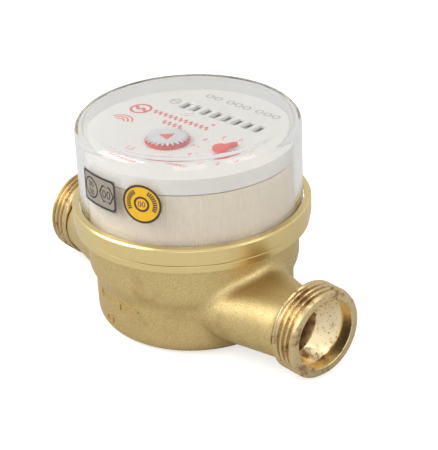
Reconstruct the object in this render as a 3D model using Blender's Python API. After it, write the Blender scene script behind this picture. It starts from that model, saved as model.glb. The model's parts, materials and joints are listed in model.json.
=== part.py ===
"""Single-jet water meter with a dry register, as separate pieces.

Sizes are in millimetres until a mesh is stored. X runs along the pipe in the flow direction, Z is up, and the
origin is under the bowl on its base.
"""
from math import atan2, ceil, cos, degrees, hypot, pi, radians, sin, sqrt

import bmesh
import bpy
from mathutils import Matrix, Vector

for old in list(bpy.data.objects):
    bpy.data.objects.remove(old, do_unlink=True)

MM = 0.001

# ---------------------------------------------------------------- driving sizes
GAP = 0.3                  # clearance between pieces that only touch on the real meter
RUN = 0.1                  # radial clearance of a shaft in its bearing

LENGTH = 110.0             # face to face, the standard length of a 3/4 inch meter
THREAD_R = 13.22           # G 3/4 B thread, major radius
THREAD_LIFT = 0.38         # the threads stay this far above the base
THREAD_PITCH = 1.814
THREAD_DEPTH = 1.16
THREAD_LENGTH = 7.9
THREAD_CHAMFER = 1.06
PORT_R = 10.13             # bore at the face
PORT_DEPTH = 3.8
THROAT_R = 7.5             # hole at the end of the funnel
THROAT_DEPTH = 8.0
THROAT_SHIFT = -4.0        # the channels swing to the -Y side of the chamber
CHANNEL_R = 5.2
CHANNEL_END = (10.0, -14.7)

BAND_WALL = 2.7            # wall of the neck band under the flange
BOWL_STEP = 1.8            # the bowl is this much smaller in radius than the band
LEDGE_Z = 14.5
BAND_Z = 19.5
FLANGE_Z = 30.0            # underside of the machined flange
PARTING_Z = 32.2           # top of the flange, where the clamp ring starts
SPIGOT_TOP = 34.0
CHAMBER_R = 22.75
CHAMBER_FLOOR = 3.8
SHOULDER_Z = 24.6

HOOD_R = 32.3
HOOD_WALL = 2.3
HOOD_TOP = 62.8
HOOD_ROOF = 1.7
HOOD_ROUND = 3.4
HOOD_FOOT = 1.3            # how far the foot flange stands out
RING_TOP = 37.5
REGISTER_TURN = 6.5        # the dial stands turned by this angle, in degrees

CUP_WALL = 1.8
DIAL_TOP = 56.7
DIAL_THICK = 1.0
DIAL_SKIRT = 4.7

ROLLER_COUNT = 8
ROLLER_PITCH = 4.03
ROLLER_LAST = 15.51        # x of the fastest roller, which the worm drives
ROLLER_Y = 12.64
ROLLER_R = 4.3
ROLLER_RING = 1.0          # width of the gear ring beside each roller
WINDOW_LENGTH = 4.8

STAR_AT = (0.76, -9.43)
STAR_R = 6.3
STAR_HUB_R = 5.5           # the wheel's hub turns in a hole of the dial, and its rim hangs over the edge
STAR_RIM_R = 6.4
POINTER_AT = (16.63, -4.8)
POINTER_REACH = 5.4
POINTER_HUB_R = 2.3
POINTER_BLADE = 1.7        # width of the blade
POINTER_HEADING = 72.0
POST_R = 1.6
LABEL_THICK = 0.2

# ---------------------------------------------------------------- sizes that follow from them
PIPE_Z = THREAD_R + THREAD_LIFT
CUP_R = HOOD_R - HOOD_WALL - GAP
CUP_INNER = CUP_R - CUP_WALL
CUP_LOW_R = CUP_INNER
CUP_LOW_INNER = CUP_LOW_R - 1.1
FRAME_R = CUP_INNER - GAP
LIP_R = CUP_R - 1.0
RING_LIP = HOOD_R + GAP
FOOT_R = HOOD_R + HOOD_FOOT
RING_BORE = FOOT_R + 0.25
RING_R = RING_BORE + 0.85
SPIGOT_R = RING_BORE - GAP
FLANGE_R = SPIGOT_R + 0.65
UPPER_BORE = CUP_LOW_R + 0.4
PLATE_RIM = UPPER_BORE - GAP
BAND_R = UPPER_BORE + BAND_WALL
BOWL_R = BAND_R - BOWL_STEP
PLATE_R = UPPER_BORE - 3.3
HALF = LENGTH / 2
THREAD_ROOT = THREAD_R - THREAD_DEPTH

ORING_WIRE = 0.95
PLATE_Z = SHOULDER_Z + GAP
PLATE_RIM_Z = PLATE_Z + 2.1
PLATE_TOP = PLATE_Z + 3.0
CUP_Z = PLATE_TOP + GAP
CUP_FLOOR = CUP_Z + 1.2
GLIDE_Z = SPIGOT_TOP + 0.2
FOOT_Z = GLIDE_Z + 0.6
FOOT_TOP = FOOT_Z + 1.5
RING_LIP_Z = FOOT_TOP + 0.2
LOW_FRAME_Z = CUP_Z + 9.1
LOW_FRAME_TOP = LOW_FRAME_Z + 1.2
LEVEL_1 = LOW_FRAME_TOP + 0.7
DIAL_Z = DIAL_TOP - DIAL_THICK
SKIRT_Z = DIAL_TOP - DIAL_SKIRT
ROLLER_Z = DIAL_Z - 0.4 - ROLLER_R
ROLLER_WIDTH = ROLLER_PITCH - ROLLER_RING - 0.33
WINDOW = (ROLLER_WIDTH - GAP, WINDOW_LENGTH)
HIGH_FRAME_Z = ROLLER_Z - 2.4
HIGH_FRAME_TOP = HIGH_FRAME_Z + 1.0
POST_TOP = HIGH_FRAME_Z - GAP

ROUND = 40                 # sides of the large outer rounds
ROUND_IN = 28              # sides of the smaller or hidden rounds

SHAFT_R = 0.5
BEARING_R = SHAFT_R + RUN
ROLLER_SHAFT_R = 0.8
SPINDLE_R = 1.0

# ---------------------------------------------------------------- materials


def material(name, colour, roughness, metallic=0.0, alpha=1.0):
    made = bpy.data.materials.new(name)
    made.use_nodes = True
    shader = made.node_tree.nodes["Principled BSDF"]
    shader.inputs["Base Color"].default_value = (*colour, 1.0)
    shader.inputs["Roughness"].default_value = roughness
    shader.inputs["Metallic"].default_value = metallic
    shader.inputs["Alpha"].default_value = alpha
    return made


CAST_BRASS = material("cast_brass", (0.58, 0.44, 0.19), 0.45, 1.0)
TURNED_BRASS = material("turned_brass", (0.75, 0.60, 0.28), 0.25, 1.0)
CLEAR_PLASTIC = material("clear_plastic", (0.95, 0.93, 0.90), 0.08, alpha=0.35)
CREAM_PLASTIC = material("cream_plastic", (0.80, 0.74, 0.60), 0.45)
WHITE_PLASTIC = material("white_plastic", (0.85, 0.84, 0.82), 0.4)
GREY_PLASTIC = material("grey_plastic", (0.35, 0.36, 0.37), 0.5)
RED_PLASTIC = material("red_plastic", (0.75, 0.08, 0.05), 0.35)
GEAR_PLASTIC = material("gear_plastic", (0.78, 0.76, 0.70), 0.4)
STEEL = material("steel", (0.62, 0.62, 0.64), 0.25, 1.0)
FERRITE = material("ferrite", (0.12, 0.12, 0.13), 0.6)
SEAL_RUBBER = material("seal_rubber", (0.03, 0.03, 0.03), 0.7)
GREY_LABEL = material("grey_label", (0.42, 0.41, 0.40), 0.5)
YELLOW_LABEL = material("yellow_label", (0.85, 0.60, 0.10), 0.5)

# ---------------------------------------------------------------- mesh helpers


def circle(radius, segments, centre=(0.0, 0.0), turn=0.0):
    """Points of a circle, anticlockwise."""
    points = []
    for i in range(segments):
        angle = radians(turn) + 2 * pi * i / segments
        points.append((centre[0] + radius * cos(angle), centre[1] + radius * sin(angle)))
    return points


def rectangle(low, high):
    return [(low[0], low[1]), (high[0], low[1]), (high[0], high[1]), (low[0], high[1])]


def arc(centre, radius, start, end, steps):
    """Points of an arc in a profile plane, from angle start to angle end in degrees."""
    points = []
    for i in range(steps + 1):
        angle = radians(start + (end - start) * i / steps)
        points.append((centre[0] + radius * cos(angle), centre[1] + radius * sin(angle)))
    return points


def store(name, bm, finish, parent=None, place=None):
    """Turns the bmesh, in millimetres, into an object in metres under its parent."""
    bmesh.ops.remove_doubles(bm, verts=bm.verts, dist=1e-5)
    bmesh.ops.recalc_face_normals(bm, faces=bm.faces)
    bmesh.ops.scale(bm, vec=(MM, MM, MM), verts=bm.verts)
    mesh = bpy.data.meshes.new(name)
    bm.to_mesh(mesh)
    bm.free()
    mesh.materials.append(finish)
    mesh.shade_smooth()
    mesh.set_sharp_from_angle(angle=radians(30))
    made = bpy.data.objects.new(name, mesh)
    bpy.context.scene.collection.objects.link(made)
    made.parent = parent
    if place is not None:
        made.matrix_local = place
    return made


def turned(name, profile, segments, finish, parent=None, place=None):
    """A closed profile of (radius, height) points, spun round the local Z axis."""
    bm = bmesh.new()
    corners = [bm.verts.new((r, 0.0, z)) for r, z in profile]
    edges = []
    for i, corner in enumerate(corners):
        following = corners[(i + 1) % len(corners)]
        if hypot(corner.co.x, following.co.x) > 1e-6:
            edges.append(bm.edges.new((corner, following)))
    bmesh.ops.spin(
        bm, geom=corners + edges, cent=(0, 0, 0), axis=(0, 0, 1), angle=2 * pi, steps=segments, use_merge=True
    )
    bmesh.ops.dissolve_degenerate(bm, dist=1e-6, edges=bm.edges)
    return store(name, bm, finish, parent, place)


def layered(name, layers, finish, parent=None, place=None):
    """Flat slices. Each layer is (low z, high z, [loops]), and a loop kept by the next layer runs on."""
    bm = bmesh.new()
    rings = {}

    def ring(loop, z):
        key = (id(loop), round(z, 6))
        if key not in rings:
            corners = [bm.verts.new((x, y, z)) for x, y in loop]
            edges = [bm.edges.new((corners[i - 1], corners[i])) for i in range(len(corners))]
            rings[key] = (corners, edges)
        return rings[key]

    for low, high, loops in layers:
        for loop in loops:
            below = ring(loop, low)[0]
            above = ring(loop, high)[0]
            for i in range(len(loop)):
                bm.faces.new((below[i - 1], below[i], above[i], above[i - 1]))
    levels = [layers[0][0]] + [layer[1] for layer in layers]
    for number, z in enumerate(levels):
        under = layers[number - 1][2] if number > 0 else []
        over = layers[number][2] if number < len(layers) else []
        changed = [loop for loop in under if not any(loop is other for other in over)]
        changed += [loop for loop in over if not any(loop is other for other in under)]
        edges = []
        for loop in changed:
            edges += ring(loop, z)[1]
        if edges:
            bmesh.ops.triangle_fill(bm, use_beauty=True, use_dissolve=False, edges=edges)
    return store(name, bm, finish, parent, place)


def lofted(name, sections, segments, finish):
    """A closed tube along X through ellipses: (x, centre y, radius y, radius z), at the pipe's height."""
    bm = bmesh.new()
    rings = []
    for x, y, radius_y, radius_z in sections:
        corners = []
        for i in range(segments):
            angle = 2 * pi * i / segments
            corners.append(bm.verts.new((x, y + radius_y * cos(angle), PIPE_Z + radius_z * sin(angle))))
        rings.append(corners)
    for first, second in zip(rings, rings[1:]):
        for i in range(segments):
            bm.faces.new((first[i - 1], first[i], second[i], second[i - 1]))
    bm.faces.new(rings[0])
    bm.faces.new(rings[-1])
    return store(name, bm, finish)


def helper(made):
    made.hide_render = True
    made.display_type = "WIRE"
    return made


def boolean(made, other, operation):
    modifier = made.modifiers.new(other.name, "BOOLEAN")
    modifier.object = helper(other)
    modifier.operation = operation
    modifier.solver = "EXACT"


def axis_empty(name, at, parent=None, turn=Matrix.Identity(4)):
    """An empty on a joint's axis, at a point in millimetres."""
    made = bpy.data.objects.new(name, None)
    bpy.context.scene.collection.objects.link(made)
    made.parent = parent
    made.matrix_local = Matrix.Translation(Vector(at) * MM) @ turn
    return made


def shifted(x, y, z):
    return Matrix.Translation(Vector((x, y, z)) * MM)


# ---------------------------------------------------------------- gears

ADDENDUM = 0.85
DEDENDUM = 1.15


def gear(teeth, module, phase=0.0):
    """Outline of a spur gear: straight flanks, with a tooth centred at the phase angle in degrees."""
    root = module * (teeth / 2 - DEDENDUM)
    tip = module * (teeth / 2 + ADDENDUM)
    step = 2 * pi / teeth
    half_root = min(1.05 * module / root, 0.36 * step)
    half_tip = 0.36 * module / tip
    outline = []
    for i in range(teeth):
        centre = radians(phase) + i * step
        for radius, side in ((root, -half_root), (tip, -half_tip), (tip, half_tip), (root, half_root)):
            outline.append((radius * cos(centre + side), radius * sin(centre + side)))
    return outline


def direction(a, b):
    return degrees(atan2(b[1] - a[1], b[0] - a[0]))


def mesh_phase(heading, teeth_a, phase_a, teeth_b):
    """Phase of gear b, standing at this heading from gear a, that puts its gap on a's tooth."""
    part = (heading - phase_a) * teeth_a / 360
    return heading + 180 - (0.5 - part) * 360 / teeth_b


def meeting_point(a, distance_a, b, distance_b, side):
    """The point at the two distances from a and b, left (1) or right (-1) of the line from a to b."""
    apart = hypot(b[0] - a[0], b[1] - a[1])
    along = (apart**2 + distance_a**2 - distance_b**2) / (2 * apart)
    off = side * sqrt(distance_a**2 - along**2)
    unit = ((b[0] - a[0]) / apart, (b[1] - a[1]) / apart)
    return (a[0] + along * unit[0] - off * unit[1], a[1] + along * unit[1] + off * unit[0])


def pair_distance(module, teeth_a, teeth_b):
    return module * (teeth_a + teeth_b) / 2


# ---------------------------------------------------------------- body casting


def neck(name, side):
    sections = [
        (side * (HALF - THREAD_LENGTH - 0.4), -2.6, 9.6, 9.8),
        (side * (HALF - 13.0), -3.8, 10.0, 9.9),
        (side * (HALF - 19.0), -4.9, 10.6, 10.2),
        (side * (HALF - 27.0), -6.3, 11.2, 10.3),
        (side * (HALF - 37.0), -8.5, 11.0, 10.2),
    ]
    return lofted(name, sections, 24, CAST_BRASS)


def thread_profile():
    """(radius, distance from the face) of the threaded end, with plain rings standing for the helix."""
    points = [(0.0, 0.0), (THREAD_R - THREAD_CHAMFER, 0.0), (THREAD_R, THREAD_CHAMFER)]
    turns = int((THREAD_LENGTH - THREAD_CHAMFER) / THREAD_PITCH)
    for i in range(turns):
        crest = THREAD_CHAMFER + 0.35 + i * THREAD_PITCH
        root = crest + THREAD_PITCH / 2
        points += [(THREAD_R, crest), (THREAD_ROOT, root), (THREAD_R, crest + THREAD_PITCH - 0.35)]
    points += [(THREAD_R, THREAD_LENGTH), (THREAD_ROOT - 0.6, THREAD_LENGTH + 0.9), (0.0, THREAD_LENGTH + 0.9)]
    return points


def threaded_end(name, side):
    facing = Matrix.Rotation(radians(-90 * side), 4, "Y")
    return turned(name, thread_profile(), ROUND_IN, CAST_BRASS, place=shifted(side * HALF, 0, PIPE_Z) @ facing)


def channel(name, side):
    sections = [
        (side * (HALF + 1.0), 0.0, PORT_R, PORT_R),
        (side * (HALF - PORT_DEPTH), 0.0, PORT_R, PORT_R),
        (side * (HALF - THROAT_DEPTH), THROAT_SHIFT, THROAT_R, THROAT_R),
        (side * (HALF - 15.0), THROAT_SHIFT - 2.0, 6.0, 6.0),
        (side * CHANNEL_END[0], CHANNEL_END[1], CHANNEL_R, CHANNEL_R),
    ]
    return lofted(name, sections, 20, CAST_BRASS)


body_profile = [
    (0.0, 0.0),
    (BOWL_R - 4.6, 0.0),
    *arc((BOWL_R - 4.6, 4.6), 4.6, -67.5, 0, 3),
    (BOWL_R, LEDGE_Z),
    (BAND_R - 0.5, BAND_Z - 1.2),
    (BAND_R, BAND_Z),
    (BAND_R, FLANGE_Z),
    (FLANGE_R, FLANGE_Z),
    (FLANGE_R, PARTING_Z),
    (SPIGOT_R, PARTING_Z),
    (SPIGOT_R, SPIGOT_TOP),
    (0.0, SPIGOT_TOP),
]
PIVOT_HOLE_R = 1.3
PIVOT_HOLE_Z = CHAMBER_FLOOR - 2.0
chamber_profile = [
    (0.0, PIVOT_HOLE_Z),
    (PIVOT_HOLE_R, PIVOT_HOLE_Z),
    (PIVOT_HOLE_R, CHAMBER_FLOOR),
    (CHAMBER_R, CHAMBER_FLOOR),
    (CHAMBER_R, SHOULDER_Z),
    (UPPER_BORE, SHOULDER_Z),
    (UPPER_BORE, SPIGOT_TOP + 1.0),
    (0.0, SPIGOT_TOP + 1.0),
]
body = turned("body_casting", body_profile, ROUND, CAST_BRASS)
for side, word in ((-1, "inlet"), (1, "outlet")):
    boolean(body, neck("cut_neck_" + word, side), "UNION")
    boolean(body, threaded_end("cut_thread_" + word, side), "UNION")
boolean(body, turned("cut_chamber", chamber_profile, ROUND, CAST_BRASS), "DIFFERENCE")
for side, word in ((-1, "inlet"), (1, "outlet")):
    boolean(body, channel("cut_channel_" + word, side), "DIFFERENCE")

# ---------------------------------------------------------------- clamp ring and the pieces under it
SEAL_HEADING = -109.0
ring_profile = [
    (RING_BORE, PARTING_Z + GAP),
    (RING_R, PARTING_Z + GAP),
    (RING_R, RING_TOP - 0.5),
    (RING_R - 0.4, RING_TOP),
    (RING_LIP, RING_TOP),
    (RING_LIP, RING_LIP_Z),
    (RING_BORE, RING_LIP_Z),
]
ring = turned("clamp_ring", ring_profile, ROUND, TURNED_BRASS)
seal_turn = Matrix.Rotation(radians(SEAL_HEADING), 4, "Z") @ shifted(RING_R, 0, SPIGOT_TOP + 0.4)
seal_cut = turned(
    "cut_seal",
    [(0, -0.45), (0.8, -0.45), (0.8, 1.0), (0, 1.0)],
    12,
    TURNED_BRASS,
    place=seal_turn @ Matrix.Rotation(radians(90), 4, "Y"),
)
boolean(ring, seal_cut, "DIFFERENCE")

turned(
    "glide_ring",
    [
        (SPIGOT_R - 2.8, GLIDE_Z),
        (SPIGOT_R, GLIDE_Z),
        (SPIGOT_R, GLIDE_Z + 0.4),
        (SPIGOT_R - 2.8, GLIDE_Z + 0.4),
    ],
    ROUND_IN,
    WHITE_PLASTIC,
)

ORING_R = (PLATE_R + UPPER_BORE) / 2 - 0.15
turned(
    "chamber_o_ring",
    arc((ORING_R, SHOULDER_Z + 0.25 + ORING_WIRE), ORING_WIRE, 0, 300, 5),
    ROUND_IN,
    SEAL_RUBBER,
)

BUSH_R = 1.9
BUSH_HOLE = BUSH_R + RUN
turned(
    "separator_plate",
    [
        (0.0, PLATE_Z + 1.5),
        (BUSH_HOLE, PLATE_Z + 1.5),
        (BUSH_HOLE, PLATE_Z),
        (PLATE_R, PLATE_Z),
        (PLATE_R, PLATE_RIM_Z),
        (PLATE_RIM, PLATE_RIM_Z),
        (PLATE_RIM, PLATE_TOP),
        (0.0, PLATE_TOP),
    ],
    ROUND_IN,
    WHITE_PLASTIC,
)
PIVOT_R = 0.6
turned(
    "upper_bearing_bush",
    [
        (PIVOT_R + RUN, PLATE_Z + 0.05),
        (BUSH_R, PLATE_Z + 0.05),
        (BUSH_R, PLATE_Z + 1.4),
        (PIVOT_R + RUN, PLATE_Z + 1.4),
    ],
    16,
    GREY_PLASTIC,
)
PIN_TOP = CHAMBER_FLOOR + 1.9
turned(
    "lower_pivot_pin",
    [
        (0.0, PIVOT_HOLE_Z + 0.2),
        (PIVOT_HOLE_R - RUN, PIVOT_HOLE_Z + 0.2),
        (PIVOT_HOLE_R - RUN, PIN_TOP - 0.8),
        (0.35, PIN_TOP),
        (0.0, PIN_TOP),
    ],
    16,
    STEEL,
)

STRAINER_DEPTH = 12.0
STRAINER_THICK = 1.2
strainer_y = THROAT_SHIFT - 2.0 * (STRAINER_DEPTH - THROAT_DEPTH) / (15.0 - THROAT_DEPTH)
strainer_holes = [circle(1.15, 8)] + [
    circle(1.15, 8, (3.7 * cos(2 * pi * i / 6), 3.7 * sin(2 * pi * i / 6))) for i in range(6)
]
layered(
    "inlet_strainer",
    [(-STRAINER_THICK / 2, STRAINER_THICK / 2, [circle(THROAT_R - 1.4, 16)] + strainer_holes)],
    WHITE_PLASTIC,
    place=shifted(-HALF + STRAINER_DEPTH, strainer_y, PIPE_Z) @ Matrix.Rotation(radians(90), 4, "Y"),
)

# ---------------------------------------------------------------- impeller
IMPELLER_R = CHAMBER_R - 2.75
IMPELLER_Z = CHAMBER_FLOOR + 1.6
IMPELLER_TOP = SHOULDER_Z - 4.6
HUB_R = 4.5
BLADES = 8
BLADE_THICK = 1.2
impeller_axis = axis_empty("impeller_axis", (0, 0, 0))


def blade_outline():
    points = []
    for i in range(BLADES):
        angle = 2 * pi * i / BLADES
        for along, across in ((HUB_R, -1), (IMPELLER_R, -1), (IMPELLER_R, 1), (HUB_R, 1)):
            off = across * BLADE_THICK / 2
            points.append((along * cos(angle) - off * sin(angle), along * sin(angle) + off * cos(angle)))
    return points


spindle_bore = circle(SPINDLE_R + RUN, 12)
hub_low = circle(HUB_R - 1.3, 16)
hub_disc = circle(HUB_R - 1.0, 16)
layered(
    "impeller",
    [
        (IMPELLER_Z, IMPELLER_Z + 1.2, [hub_low, spindle_bore]),
        (IMPELLER_Z + 1.2, IMPELLER_TOP - 0.8, [blade_outline(), spindle_bore]),
        (IMPELLER_TOP - 0.8, IMPELLER_TOP, [hub_disc, spindle_bore]),
    ],
    WHITE_PLASTIC,
    impeller_axis,
)
SPINDLE_TOP = PLATE_Z - 0.5
turned(
    "impeller_spindle",
    [
        (0.0, PIN_TOP + 0.2),
        (SPINDLE_R, PIN_TOP + 0.2),
        (SPINDLE_R, SPINDLE_TOP),
        (PIVOT_R, SPINDLE_TOP),
        (PIVOT_R, PLATE_Z + 1.2),
        (0.0, PLATE_Z + 1.2),
    ],
    12,
    STEEL,
    impeller_axis,
)
layered(
    "drive_magnet",
    [(IMPELLER_TOP + 0.4, SHOULDER_Z - 0.7, [circle(8.0, 24), spindle_bore])],
    FERRITE,
    impeller_axis,
)

# ---------------------------------------------------------------- register: hood, cup and dial
register = axis_empty("register_axis", (0, 0, 0), turn=Matrix.Rotation(radians(REGISTER_TURN), 4, "Z"))
unturned = Matrix.Rotation(radians(-REGISTER_TURN), 4, "Z")
hood_inner = HOOD_R - HOOD_WALL
hood_profile = [
    (hood_inner, FOOT_Z),
    (FOOT_R, FOOT_Z),
    (FOOT_R, FOOT_TOP),
    (HOOD_R, FOOT_TOP),
    *arc((HOOD_R - HOOD_ROUND, HOOD_TOP - HOOD_ROUND), HOOD_ROUND, 0, 90, 3),
    (0.0, HOOD_TOP),
    (0.0, HOOD_TOP - HOOD_ROOF),
    (hood_inner - 1.4, HOOD_TOP - HOOD_ROOF),
    (hood_inner, HOOD_TOP - HOOD_ROOF - 1.4),
]
turned("hood", hood_profile, ROUND, CLEAR_PLASTIC, register, unturned)

STEP_Z = FOOT_Z
cup_profile = [
    (0.0, CUP_Z),
    (CUP_LOW_R, CUP_Z),
    (CUP_LOW_R, STEP_Z),
    (CUP_R, STEP_Z),
    (CUP_R, SKIRT_Z - GAP),
    (LIP_R, SKIRT_Z - GAP),
    (LIP_R, SKIRT_Z + 1.8),
    (CUP_INNER, SKIRT_Z + 1.8),
    (CUP_INNER, LOW_FRAME_Z - 0.4),
    (CUP_LOW_INNER, LOW_FRAME_Z - 0.4),
    (CUP_LOW_INNER, CUP_FLOOR),
    (0.0, CUP_FLOOR),
]
turned("register_cup", cup_profile, ROUND, CREAM_PLASTIC, register, unturned)


def roller_x(number):
    return ROLLER_LAST - (ROLLER_COUNT - 1 - number) * ROLLER_PITCH


def window(number):
    x = roller_x(number)
    low = (x - WINDOW[0] / 2, ROLLER_Y - WINDOW[1] / 2)
    return rectangle(low, (x + WINDOW[0] / 2, ROLLER_Y + WINDOW[1] / 2))


dial_rim = circle(CUP_R, ROUND)
dial_holes = [circle(STAR_HUB_R + 0.4, ROUND_IN, STAR_AT), circle(0.9, 10, POINTER_AT)]
dial_holes += [window(i) for i in range(ROLLER_COUNT)]
dial_layers = [
    (SKIRT_Z, DIAL_Z, [dial_rim, circle(LIP_R + GAP, ROUND)]),
    (DIAL_Z, DIAL_TOP, [dial_rim] + dial_holes),
]
layered("dial_plate", dial_layers, WHITE_PLASTIC, register)

# ---------------------------------------------------------------- places of the arbors
M1 = 0.473                 # module of the first pair
M2 = 0.45                  # of the second and third pair
M3 = 0.5                   # of the pair that drives the worm
CENTRE = (0.0, 0.0)
A_TEETH, B_TEETH, C_TEETH, D_TEETH = 8, 32, 12, 30
E_TEETH, F_TEETH, G_TEETH, I_TEETH, H_TEETH = 10, 28, 14, 28, 14
WORM_MODULE = 0.6
WORM_PITCH_R = 1.5
WORM_WHEEL_TEETH = 10
WORM_WHEEL_WIDTH = 2.0
WORM_WHEEL_R = WORM_MODULE * WORM_WHEEL_TEETH / 2
WORM_WHEEL_LOW = roller_x(ROLLER_COUNT - 1) + ROLLER_WIDTH / 2 + 1.9
WORM_WHEEL = (WORM_WHEEL_LOW, WORM_WHEEL_LOW + WORM_WHEEL_WIDTH)
WORM_AT = (WORM_WHEEL_LOW + WORM_WHEEL_WIDTH / 2, ROLLER_Y - WORM_PITCH_R - WORM_WHEEL_R)
SECOND_AT = meeting_point(
    STAR_AT, pair_distance(M2, C_TEETH, D_TEETH), POINTER_AT, pair_distance(M2, E_TEETH, F_TEETH), -1
)
IDLER_REACH = pair_distance(M3, G_TEETH, I_TEETH)
IDLER_AT = meeting_point(POINTER_AT, IDLER_REACH, WORM_AT, IDLER_REACH, 1)

b_phase = mesh_phase(direction(CENTRE, STAR_AT), A_TEETH, 0, B_TEETH)
d_phase = mesh_phase(direction(STAR_AT, SECOND_AT), C_TEETH, 0, D_TEETH)
f_phase = mesh_phase(direction(SECOND_AT, POINTER_AT), E_TEETH, 0, F_TEETH)
i_phase = mesh_phase(direction(POINTER_AT, IDLER_AT), G_TEETH, 0, I_TEETH)
h_phase = mesh_phase(direction(IDLER_AT, WORM_AT), I_TEETH, i_phase, H_TEETH)

# ---------------------------------------------------------------- movement frames and screws
POST_REACH = FRAME_R - 2.9
posts = [(POST_REACH * cos(radians(a)), POST_REACH * sin(radians(a))) for a in (-32.0, 211.0, 90.0)]
arbors = [CENTRE, STAR_AT, SECOND_AT, POINTER_AT, IDLER_AT, WORM_AT]
SCREW_R = 0.7
SCREW_HOLE = SCREW_R + RUN
SCREW_DEPTH = 4.0

post_loops = [circle(POST_R, 10, at) for at in posts]
screw_loops = [circle(SCREW_HOLE, 8, at) for at in posts]
low_bearings = [circle(BEARING_R, 8, at) for at in arbors]
layered(
    "lower_frame",
    [
        (LOW_FRAME_Z, LOW_FRAME_TOP, [circle(FRAME_R, ROUND_IN)] + low_bearings),
        (LOW_FRAME_TOP, POST_TOP - SCREW_DEPTH, post_loops),
        (POST_TOP - SCREW_DEPTH, POST_TOP, post_loops + screw_loops),
    ],
    GREY_PLASTIC,
    register,
)

row_low = roller_x(0) - ROLLER_WIDTH / 2 - 2.1
row_high = roller_x(ROLLER_COUNT - 1) + ROLLER_WIDTH / 2 + 1.1
cheek_low = (row_low - 1.5, row_low - GAP)
cheek_high = (WORM_WHEEL[1] + 0.6, WORM_WHEEL[1] + 1.8)
opening_half = ROLLER_R + 0.5
wheel_half = WORM_WHEEL_R + 0.4
row_opening = [
    (row_low, ROLLER_Y - opening_half),
    (row_high, ROLLER_Y - opening_half),
    (row_high, ROLLER_Y - wheel_half),
    (WORM_WHEEL[1] + GAP, ROLLER_Y - wheel_half),
    (WORM_WHEEL[1] + GAP, ROLLER_Y + wheel_half),
    (row_high, ROLLER_Y + wheel_half),
    (row_high, ROLLER_Y + opening_half),
    (row_low, ROLLER_Y + opening_half),
]
RING_TEETH = 20
PINION_TEETH = 8
ROLLER_MODULE = 2 * (ROLLER_R - 0.7) / RING_TEETH
PINION_Z = ROLLER_Z - pair_distance(ROLLER_MODULE, RING_TEETH, PINION_TEETH)
cheeks = [rectangle((low, ROLLER_Y - 2.0), (high, ROLLER_Y + 2.0)) for low, high in (cheek_low, cheek_high)]
high_bearings = [circle(BEARING_R, 8, at) for at in arbors[1:]]
clear_screws = [circle(SCREW_R + 0.2, 8, at) for at in posts]
upper_frame = layered(
    "upper_frame",
    [
        (PINION_Z - 1.5, HIGH_FRAME_Z, cheeks),
        (HIGH_FRAME_Z, HIGH_FRAME_TOP, [circle(FRAME_R, ROUND), row_opening] + high_bearings + clear_screws),
        (HIGH_FRAME_TOP, ROLLER_Z + 2.4, cheeks),
    ],
    GREY_PLASTIC,
    register,
)
ALONG_X = Matrix.Rotation(radians(90), 4, "Y")
PINION_SHAFT_R = 0.5
shaft_low = cheek_low[0] + 0.2
shaft_high = cheek_high[1] - 0.2


def shaft_between(name, radius, z, low, high, segments, finish):
    return layered(
        name,
        [(low, high, [circle(radius, segments)])],
        finish,
        register,
        shifted(0, ROLLER_Y, z) @ ALONG_X,
    )


row_shafts = [("roller_shaft", ROLLER_SHAFT_R, ROLLER_Z), ("pinion_shaft", PINION_SHAFT_R, PINION_Z)]
for kind, radius, z in row_shafts:
    cutter = shaft_between("cut_" + kind, radius + RUN, z, shaft_low - 1, shaft_high + 1, 12, STEEL)
    boolean(upper_frame, cutter, "DIFFERENCE")
    shaft_between(kind, radius, z, shaft_low, shaft_high, 12, STEEL)

for number, at in enumerate(posts):
    turned(
        "frame_screw_%d" % (number + 1),
        [
            (0.0, POST_TOP - SCREW_DEPTH + GAP),
            (SCREW_R, POST_TOP - SCREW_DEPTH + GAP),
            (SCREW_R, HIGH_FRAME_TOP + 0.1),
            (1.5, HIGH_FRAME_TOP + 0.1),
            (1.5, HIGH_FRAME_TOP + 1.0),
            (0.0, HIGH_FRAME_TOP + 1.0),
        ],
        8,
        STEEL,
        register,
        shifted(at[0], at[1], 0),
    )

SHIELD_R = 13.6
layered(
    "magnet_shield",
    [(CUP_FLOOR + GAP, LOW_FRAME_Z - 2.6, [circle(SHIELD_R, ROUND_IN), circle(SHIELD_R - 1.0, ROUND_IN)])],
    STEEL,
    register,
)

# ---------------------------------------------------------------- arbors of the gear train


def stacked(name, parts, finish, empty):
    """Gears on one shaft: (low z, high z, outline) with shaft filling the spaces between them."""
    loop = circle(SHAFT_R, 8)
    layers = []
    for number, (low, high, outline) in enumerate(parts):
        if number and low > parts[number - 1][1] + 1e-6:
            layers.append((parts[number - 1][1], low, [loop]))
        layers.append((low, high, [outline if outline else loop]))
    return layered(name, layers, finish, empty)


def arbor_axis(name, at):
    return axis_empty(name, (at[0], at[1], 0), register)


SHAFT_FOOT = LOW_FRAME_Z + 0.3
GEAR_THICK = 1.2
LEVEL_2 = LEVEL_1 + 1.8
LEVEL_3 = LEVEL_2 + 2.0

centre = arbor_axis("centre_axis", CENTRE)
FOLLOWER_LOW = CUP_FLOOR + 0.5
FOLLOWER_HIGH = FOLLOWER_LOW + 3.6
layered(
    "follower_magnet",
    [(FOLLOWER_LOW, FOLLOWER_HIGH, [circle(10.0, 24), circle(BEARING_R, 8)])],
    FERRITE,
    centre,
)
stacked(
    "centre_pinion",
    [
        (FOLLOWER_LOW - 0.2, LEVEL_1, None),
        (LEVEL_1, LEVEL_1 + GEAR_THICK, gear(A_TEETH, M1)),
        (LEVEL_1 + GEAR_THICK, LEVEL_1 + 2.0, None),
    ],
    GEAR_PLASTIC,
    centre,
)

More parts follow.
